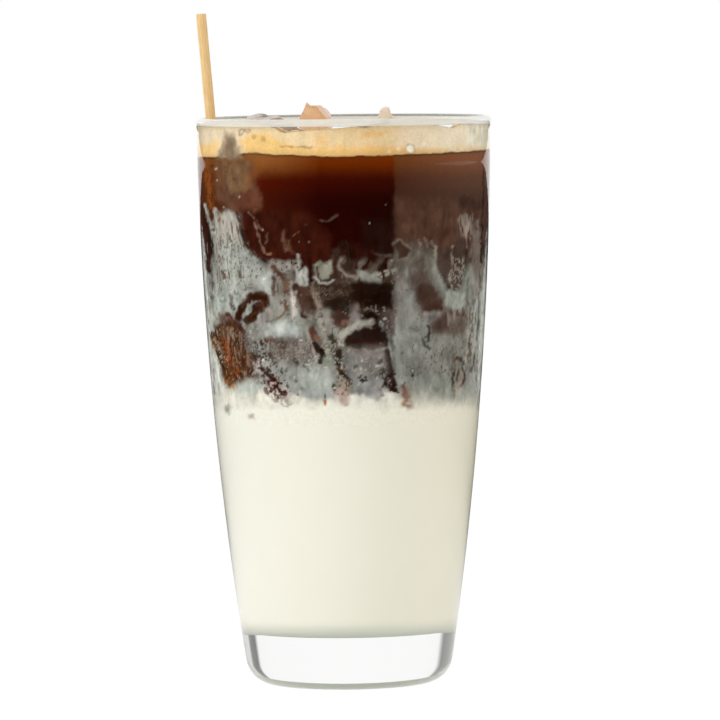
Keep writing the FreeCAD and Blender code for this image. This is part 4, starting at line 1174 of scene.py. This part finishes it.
class BuildFoam(bpy.types.Operator):
    """The foam: its side at the glass, its uneven edge and its bubbly top"""

    bl_idname = "iced_coffee.build_foam"
    bl_label = "Foam"

    # height of the foam's edge at the wall in millimetres, by bearing in degrees from the front
    EDGE = ((-180, 147.4), (-135, 147.9), (-92, 147.6), (-75, 148.3), (-62, 148.6), (-48, 148.8),
            (-38, 148.8), (-32, 148.5), (-28, 147.9), (-24.8, 146.6), (-20.5, 146.8), (-14, 147.1),
            (-6, 147.5), (0, 147.8), (5, 148.1), (12, 148.4), (17, 148.9), (21.7, 148.8), (28, 149),
            (36, 148.6), (42, 148), (49, 147.3), (55, 148.2), (66, 148.1), (92, 147.6), (135, 148.1),
            (180, 147.4))
    MIDDLE = 147.0 * MM  # mean height of the top away from the wall
    SIDE_ROWS, TOP_ROWS = 30, 96
    BUBBLES, BUBBLY_RADIUS = 900, 35.5  # the larger bubbles, and how far out they lie in millimetres

    def execute(self, context):
        sizes, drink = sizes_of("glass"), sizes_of("drink")
        barrel = Barrel(sizes)
        turns = front_fine_turns(0.31 * MM, 0.6 * MM, barrel.inside(self.MIDDLE))
        bearing = (np.degrees(turns) + 180) % 360 - 180
        edge = np.interp(bearing, *np.array(self.EDGE).T) * MM
        low = drink.coffee_high
        rows = []
        for share in np.linspace(0, 1, self.SIDE_ROWS):
            height = low + (edge - low) * share
            radius = np.array([barrel.inside(z) + drink.into_wall for z in height])
            rows.append(np.column_stack([radius * np.sin(turns), -radius * np.cos(turns), height]))
        side = np.concatenate(rows)
        rim = rows[-1]
        outer = np.hypot(rim[:, 0], rim[:, 1])
        for share in np.linspace(1, 0, self.TOP_ROWS)[1:-1]:
            rows.append(np.column_stack([rim[:, 0] * share, rim[:, 1] * share, edge]))
        rows.append(np.array([[0, 0, float(edge.mean())]]))
        top = np.concatenate(rows[self.SIDE_ROWS:])
        share = np.hypot(top[:, 0], top[:, 1]) / outer.mean()
        froth, bubbles = self.froth(top)
        # near the wall the top rises to meet its edge
        top[:, 2] = self.MIDDLE + froth + (top[:, 2] - self.MIDDLE - 0.2 * froth) * ramp(share, 0.8, 1.0)
        verts = np.concatenate([side, top])
        faces = join_rows([len(row) for row in rows])
        paint = np.concatenate([paint_side(side, barrel), self.top_colour(top, froth, bubbles)])
        new_piece("foam_layer", verts, faces, foam_material(), "foam", "foam", paint=paint)
        return {"FINISHED"}

    def froth(self, points):
        """Height of the foam's lumps and bubbles over its mean, and how much of a bubble each point is."""
        flat = points / MM * (1, 1, 0)
        height = clouds(flat, 9.0, 21, 3) * 0.35
        rng = np.random.default_rng(22)
        radii = np.sort(rng.lognormal(-0.75, 0.45, self.BUBBLES).clip(0.25, 1.7))[::-1]
        bubble = np.zeros(len(points))
        for radius in radii:
            turn, out = rng.uniform(0, 2 * math.pi), self.BUBBLY_RADIUS * math.sqrt(rng.uniform(0, 1))
            away = np.hypot(flat[:, 0] - out * math.cos(turn), flat[:, 1] - out * math.sin(turn))
            dome = np.sqrt(np.clip(radius**2 - away**2, 0, None))
            bubble = np.maximum(bubble, dome)
        return (height + bubble * 0.55) * MM, bubble

    def top_colour(self, points, froth, bubbles):
        """Darker between the lumps and a little lighter on the bubbles."""
        drink = sizes_of("drink")
        light, dark = np.array(drink.froth), np.array(drink.froth_pits)
        share = ramp(froth / MM + clouds(points / MM, 2.2, 23, 3) * 0.5, -0.5, 0.6)
        colour = dark + (light - dark) * share[:, None]
        return np.clip(colour * (1 + 0.12 * ramp(bubbles, 0.1, 0.6))[:, None], 0, 1)


class BuildIce(bpy.types.Operator):
    """The pieces of tube ice that stand out of the foam, melted and clouded"""

    bl_idname = "iced_coffee.build_ice"
    bl_label = "Ice"

    # what melting has left of a piece: its height across, in millimetres
    CROWNS = {
        "ice_middle": ((-12, 153.6), (-11.2, 154.6), (-10.3, 154.8), (-9.6, 153.9), (-8.7, 152.7),
                       (-5.6, 153), (-4.4, 152.5), (-3.4, 151.7), (-2.5, 150.8), (-1.8, 150)),
        "ice_left": ((-27, 148.6), (-25, 150.4), (-23, 151), (-20.3, 152), (-18, 151.2), (-16.5, 150.4),
                     (-14, 149), (-11, 147.9)),
        "ice_right": ((8, 149), (8.6, 151.2), (9.4, 152.6), (10.4, 153.4), (11.2, 153.6), (12, 153.4),
                      (12.4, 151), (13, 149.6), (16, 149)),
    }
    # its cloudy and its wet colour, and how clear it is
    LOOKS = {
        "ice_left": ("#D2C6B8", "#B29C88", 0.5),
        "ice_middle": ("#FBE6C8", "#EBA85C", 0.4),
        "ice_right": ("#F8F4EC", "#F4E2C8", 0.3),
    }

    def execute(self, context):
        look = sizes_of("ice")
        for seed, (node, appearance) in enumerate(self.LOOKS.items(), 31):
            verts, faces = self.melted(node, look, seed)
            material = ice_material(node + "_tube_ice", *appearance)
            new_piece(node + "_melted", verts, faces, material, "ice", node)
        return {"FINISHED"}

    def melted(self, node, look, seed):
        """The node's solid remeshed, rounded and hollowed a little, always inwards."""
        source = bpy.data.objects[node]
        mesh = source.data.copy()
        mesh.transform(source.matrix_world)
        block = bpy.data.objects.new("block", mesh)
        bpy.context.collection.objects.link(block)
        remesh = block.modifiers.new("remesh", "REMESH")
        remesh.mode = "VOXEL"
        remesh.voxel_size = look.grain
        smooth = block.modifiers.new("smooth", "SMOOTH")
        smooth.factor, smooth.iterations = 0.5, 6
        shown = block.evaluated_get(bpy.context.evaluated_depsgraph_get())
        shaped = bpy.data.meshes.new_from_object(shown)
        bpy.data.objects.remove(block)
        verts = np.empty(len(shaped.vertices) * 3)
        shaped.vertices.foreach_get("co", verts)
        normals = np.array([v.normal for v in shaped.vertices])
        verts = verts.reshape(-1, 3)
        depth = (clouds(verts / MM, 4.0, seed, 3) * 0.5 + 0.5).clip(0, 1) * look.melt
        verts = verts - normals * depth[:, None]
        crown = np.interp(verts[:, 0], *np.array(self.CROWNS[node]).T * MM)
        verts[:, 2] = np.minimum(verts[:, 2], crown + 0.15 * (verts[:, 2] - crown))
        return verts, [tuple(face.vertices) for face in shaped.polygons]


class BuildStraw(bpy.types.Operator):
    """The hollow reed that leans against the rim"""

    bl_idname = "iced_coffee.build_straw"
    bl_label = "Straw"

    def execute(self, context):
        sizes = sizes_of("straw")
        source = bpy.data.objects["straw"]
        points = np.array([source.matrix_world @ v.co for v in source.data.vertices])
        heights = points[:, 2]
        foot, top = (Vector(points[abs(heights - z) < 0.6 * MM].mean(axis=0))
                     for z in (heights.min(), heights.max()))
        along = (top - foot).normalized()
        across = along.cross(Vector((0, 1, 0))).normalized()
        back = along.cross(across)
        count, radius, reach = 48, sizes.diameter / 2, (top - foot).length
        turns = even_turns(count)
        veins = 11
        ribs = 1 - 0.018 * np.cos(veins * turns) - 0.012 * np.cos(17 * turns + 1)
        stations = [(d, radius) for d in np.linspace(0, reach - 0.25 * MM, 150)]
        stations += [(reach - 0.1 * MM, radius - 0.06 * MM), (reach, radius - 0.2 * MM)]
        cut_end = len(stations) - 1
        inner = radius - sizes.wall
        stations += [(reach - 0.12 * MM, inner + 0.03 * MM)]
        stations += [(d, inner) for d in np.linspace(reach - 0.4 * MM, 0, 40)]
        rows, paint = [], []
        light, dark = np.array(sizes.reed), np.array(sizes.reed_dark)
        for k, (distance, r) in enumerate(stations):
            centre = foot + along * distance
            ring = r * ribs * (1 + 0.01 * math.sin(distance / MM * 0.37))
            row = np.array([centre + (across * math.cos(t) + back * math.sin(t)) * q
                            for t, q in zip(turns, ring)])
            rows.append(row)
            tone = 0.25 + 0.35 * ramp(-np.cos(veins * turns) + clouds(row / MM, 3.0, 41, 2), 0.2, 1.2)
            # from the cut end on and all down the bore the reed is painted darker: painted shade inside the
            # hollow
            tone = tone + 0.5 * (k >= cut_end)
            paint.append(light + (dark - light) * tone[:, None].clip(0, 1))
        verts = np.concatenate(rows)
        faces = join_rows([count] * len(rows))
        last = count * (len(rows) - 1)
        faces += [(last + i, last + (i + 1) % count, (i + 1) % count, i) for i in range(count)]
        paint = np.concatenate(paint)
        new_piece("straw_reed", verts, faces, reed_material(sizes), "reed", "straw", paint=paint)
        return {"FINISHED"}


class BuildStage(bpy.types.Operator):
    """A white table and background, soft lamps and the camera"""

    bl_idname = "iced_coffee.build_stage"
    bl_label = "Stage"

    def execute(self, context):
        scene = context.scene
        self.make_floor()
        self.make_world(scene)
        self.make_lamps()
        self.make_camera(scene)
        scene.view_settings.view_transform = "Standard"
        return {"FINISHED"}

    def make_floor(self):
        """A white table, whose mirror image in the glass is kept dark further off."""
        reach = 3.0
        corners = [(-reach, -reach, 0), (reach, -reach, 0), (reach, reach, 0), (-reach, reach, 0)]
        mesh = bpy.data.meshes.new("table_top")
        mesh.from_pydata(corners, [], [(0, 1, 2, 3)])
        floor = bpy.data.objects.new("table_top", mesh)
        bpy.context.collection.objects.link(floor)
        material, tree = new_material("table_white_paint")
        path = add(tree, "ShaderNodeLightPath")
        seen = add(tree, "ShaderNodeMath", {"operation": "MAXIMUM"},
                   {0: path.outputs["Is Camera Ray"], 1: path.outputs["Is Transmission Ray"]})
        matte = add(tree, "ShaderNodeBsdfDiffuse", {"Color": (0.8, 0.8, 0.8, 1)})
        faint = add(tree, "ShaderNodeBsdfDiffuse", {"Color": (0.07, 0.07, 0.07, 1)})
        glow = add(tree, "ShaderNodeEmission", {"Color": (1, 1, 1, 1), "Strength": 0.96})
        white = add(tree, "ShaderNodeAddShader", links={0: faint.outputs[0], 1: glow.outputs[0]})
        # mirrored in the glass, the table is white close by and dark further off
        place = add(tree, "ShaderNodeTexCoord")
        away = add(tree, "ShaderNodeVectorMath", {"operation": "LENGTH"}, {0: place.outputs["Object"]})
        near = add(tree, "ShaderNodeMapRange", {
            "From Min": 0.15, "From Max": 0.4, "To Min": 0.9, "To Max": 0.02,
        }, {"Value": away.outputs["Value"]})
        mirrored = add(tree, "ShaderNodeEmission", {"Color": (1, 1, 1, 1)}, {"Strength": near.outputs[0]})
        dull = mixed(tree, path.outputs["Is Glossy Ray"], matte, mirrored)
        finish_material(material, mixed(tree, seen.outputs[0], dull, white).outputs[0])
        mesh.materials.append(material)

    def make_world(self, scene):
        """White behind the glass, a tall softbox at the right, dark flags between, even light all round."""
        world = bpy.data.worlds.new("studio")
        world.use_nodes = True
        tree = world.node_tree
        tree.nodes.clear()
        path = add(tree, "ShaderNodeLightPath")
        ray = add(tree, "ShaderNodeTexCoord")
        axes = add(tree, "ShaderNodeSeparateXYZ", links={0: ray.outputs["Generated"]})
        front = add(tree, "ShaderNodeMath", {"operation": "MULTIPLY", 1: -1.0}, {0: axes.outputs[1]})
        bearing = add(tree, "ShaderNodeMath", {"operation": "ARCTAN2"},
                      {0: axes.outputs[0], 1: front.outputs[0]})

        def level(start, *steps):
            """A level round the horizon. Each step says at which bearing from the front, positive to the
            right, over what width, both in degrees, and to what level it changes."""
            total = add(tree, "ShaderNodeValue").outputs[0]
            total.default_value = start
            before = start
            for at, width, after in steps:
                step = add(tree, "ShaderNodeMapRange", {
                    "From Min": math.radians(at - width / 2), "From Max": math.radians(at + width / 2),
                    "To Min": 0.0, "To Max": after - before,
                }, {"Value": bearing.outputs[0]})
                total = add(tree, "ShaderNodeMath", {"operation": "ADD"},
                            {0: total, 1: step.outputs[0]}).outputs[0]
                before = after
            return total

        mirror = level(1.0, (-142, 6, 0.02), (39.2, 0.7, 0.42), (132, 10, 1.0))
        through = level(1.0, (-131, 6, 0.22), (-80, 10, 0.75), (117, 4, 0.12), (130, 4, 1.0))
        lit = add(tree, "ShaderNodeMix", {2: 0.78}, {0: path.outputs["Is Glossy Ray"], 3: mirror})
        bent = add(tree, "ShaderNodeMix",
                   links={0: path.outputs["Is Transmission Ray"], 2: lit.outputs[0], 3: through})
        seen = add(tree, "ShaderNodeMix", {3: 1.0}, {0: path.outputs["Is Camera Ray"], 2: bent.outputs[0]})
        sky = add(tree, "ShaderNodeBackground", {"Color": (1, 1, 1, 1)}, {"Strength": seen.outputs[0]})
        add(tree, "ShaderNodeOutputWorld", links={"Surface": sky.outputs[0]})
        scene.world = world

    def make_lamps(self):
        """Two soft lamps at the sides that leave no mirror image in the glass."""
        aim = Vector((0, 0, 90 * MM))

        def lamp(name, place, size, watts):
            data = bpy.data.lights.new(name, "AREA")
            data.shape = "RECTANGLE"
            data.size, data.size_y = size
            data.energy = watts
            lamp = bpy.data.objects.new(name, data)
            lamp.location = place
            lamp.rotation_euler = (aim - Vector(place)).to_track_quat("-Z", "Y").to_euler()
            lamp.visible_glossy = lamp.visible_transmission = False
            bpy.context.collection.objects.link(lamp)

        lamp("key_left", (-1.1, -0.5, 0.45), (0.7, 0.7), 6.0)
        lamp("fill_right", (0.9, -0.7, 0.3), (0.8, 0.9), 3.0)

    def make_camera(self, scene):
        """A long lens from the front, a little above the rim and turned slightly about its view."""
        stage = sizes_of("stage")
        data = bpy.data.cameras.new("camera")
        data.lens = stage.lens
        data.sensor_width = 36.0
        camera = bpy.data.objects.new("camera", data)
        place = Vector((0.0, -stage.camera_distance, stage.camera_height))
        target = Vector((0.0037, 0, 0.0855))  # beside the axis, near the middle of the whole height
        look = (target - place).to_track_quat("-Z", "Y").to_matrix().to_4x4()
        camera.matrix_world = Matrix.Translation(place) @ look @ Matrix.Rotation(-stage.roll, 4, "Z")
        bpy.context.collection.objects.link(camera)
        scene.camera = camera


OPERATORS = (BuildStage, BuildGlass, BuildDrink, BuildFoam, BuildIce, BuildStraw)
GROUPS = (GlassSizes, DrinkSizes, IceLook, StrawSizes, StageSettings)


class IcedCoffeeSettings(bpy.types.PropertyGroup):
    """All the groups of sizes and colours, kept on the scene"""

    glass: bpy.props.PointerProperty(type=GlassSizes)
    drink: bpy.props.PointerProperty(type=DrinkSizes)
    ice: bpy.props.PointerProperty(type=IceLook)
    straw: bpy.props.PointerProperty(type=StrawSizes)
    stage: bpy.props.PointerProperty(type=StageSettings)


class IcedCoffeePanel(bpy.types.Panel):
    """A button for each part in the sidebar"""

    bl_idname = "VIEW3D_PT_iced_coffee"
    bl_label = "Iced Coffee"
    bl_space_type = "VIEW_3D"
    bl_region_type = "UI"
    bl_category = "Iced Coffee"

    def draw(self, context):
        for operator in OPERATORS:
            self.layout.operator(operator.bl_idname)


def register():
    for item in (*GROUPS, IcedCoffeeSettings, *OPERATORS, IcedCoffeePanel):
        bpy.utils.register_class(item)
    bpy.types.Scene.iced_coffee = bpy.props.PointerProperty(type=IcedCoffeeSettings)


def unregister():
    del bpy.types.Scene.iced_coffee
    for item in reversed((*GROUPS, IcedCoffeeSettings, *OPERATORS, IcedCoffeePanel)):
        bpy.utils.unregister_class(item)


def plain(box):
    """Two corners as plain lists of numbers."""
    return [[round(float(value), 6) for value in corner] for corner in box]


def main():
    """Builds the stage and the drink."""
    register()
    for operator in OPERATORS:
        group, action = operator.bl_idname.split(".")
        getattr(getattr(bpy.ops, group), action)()


if __name__ == "__main__":
    main()
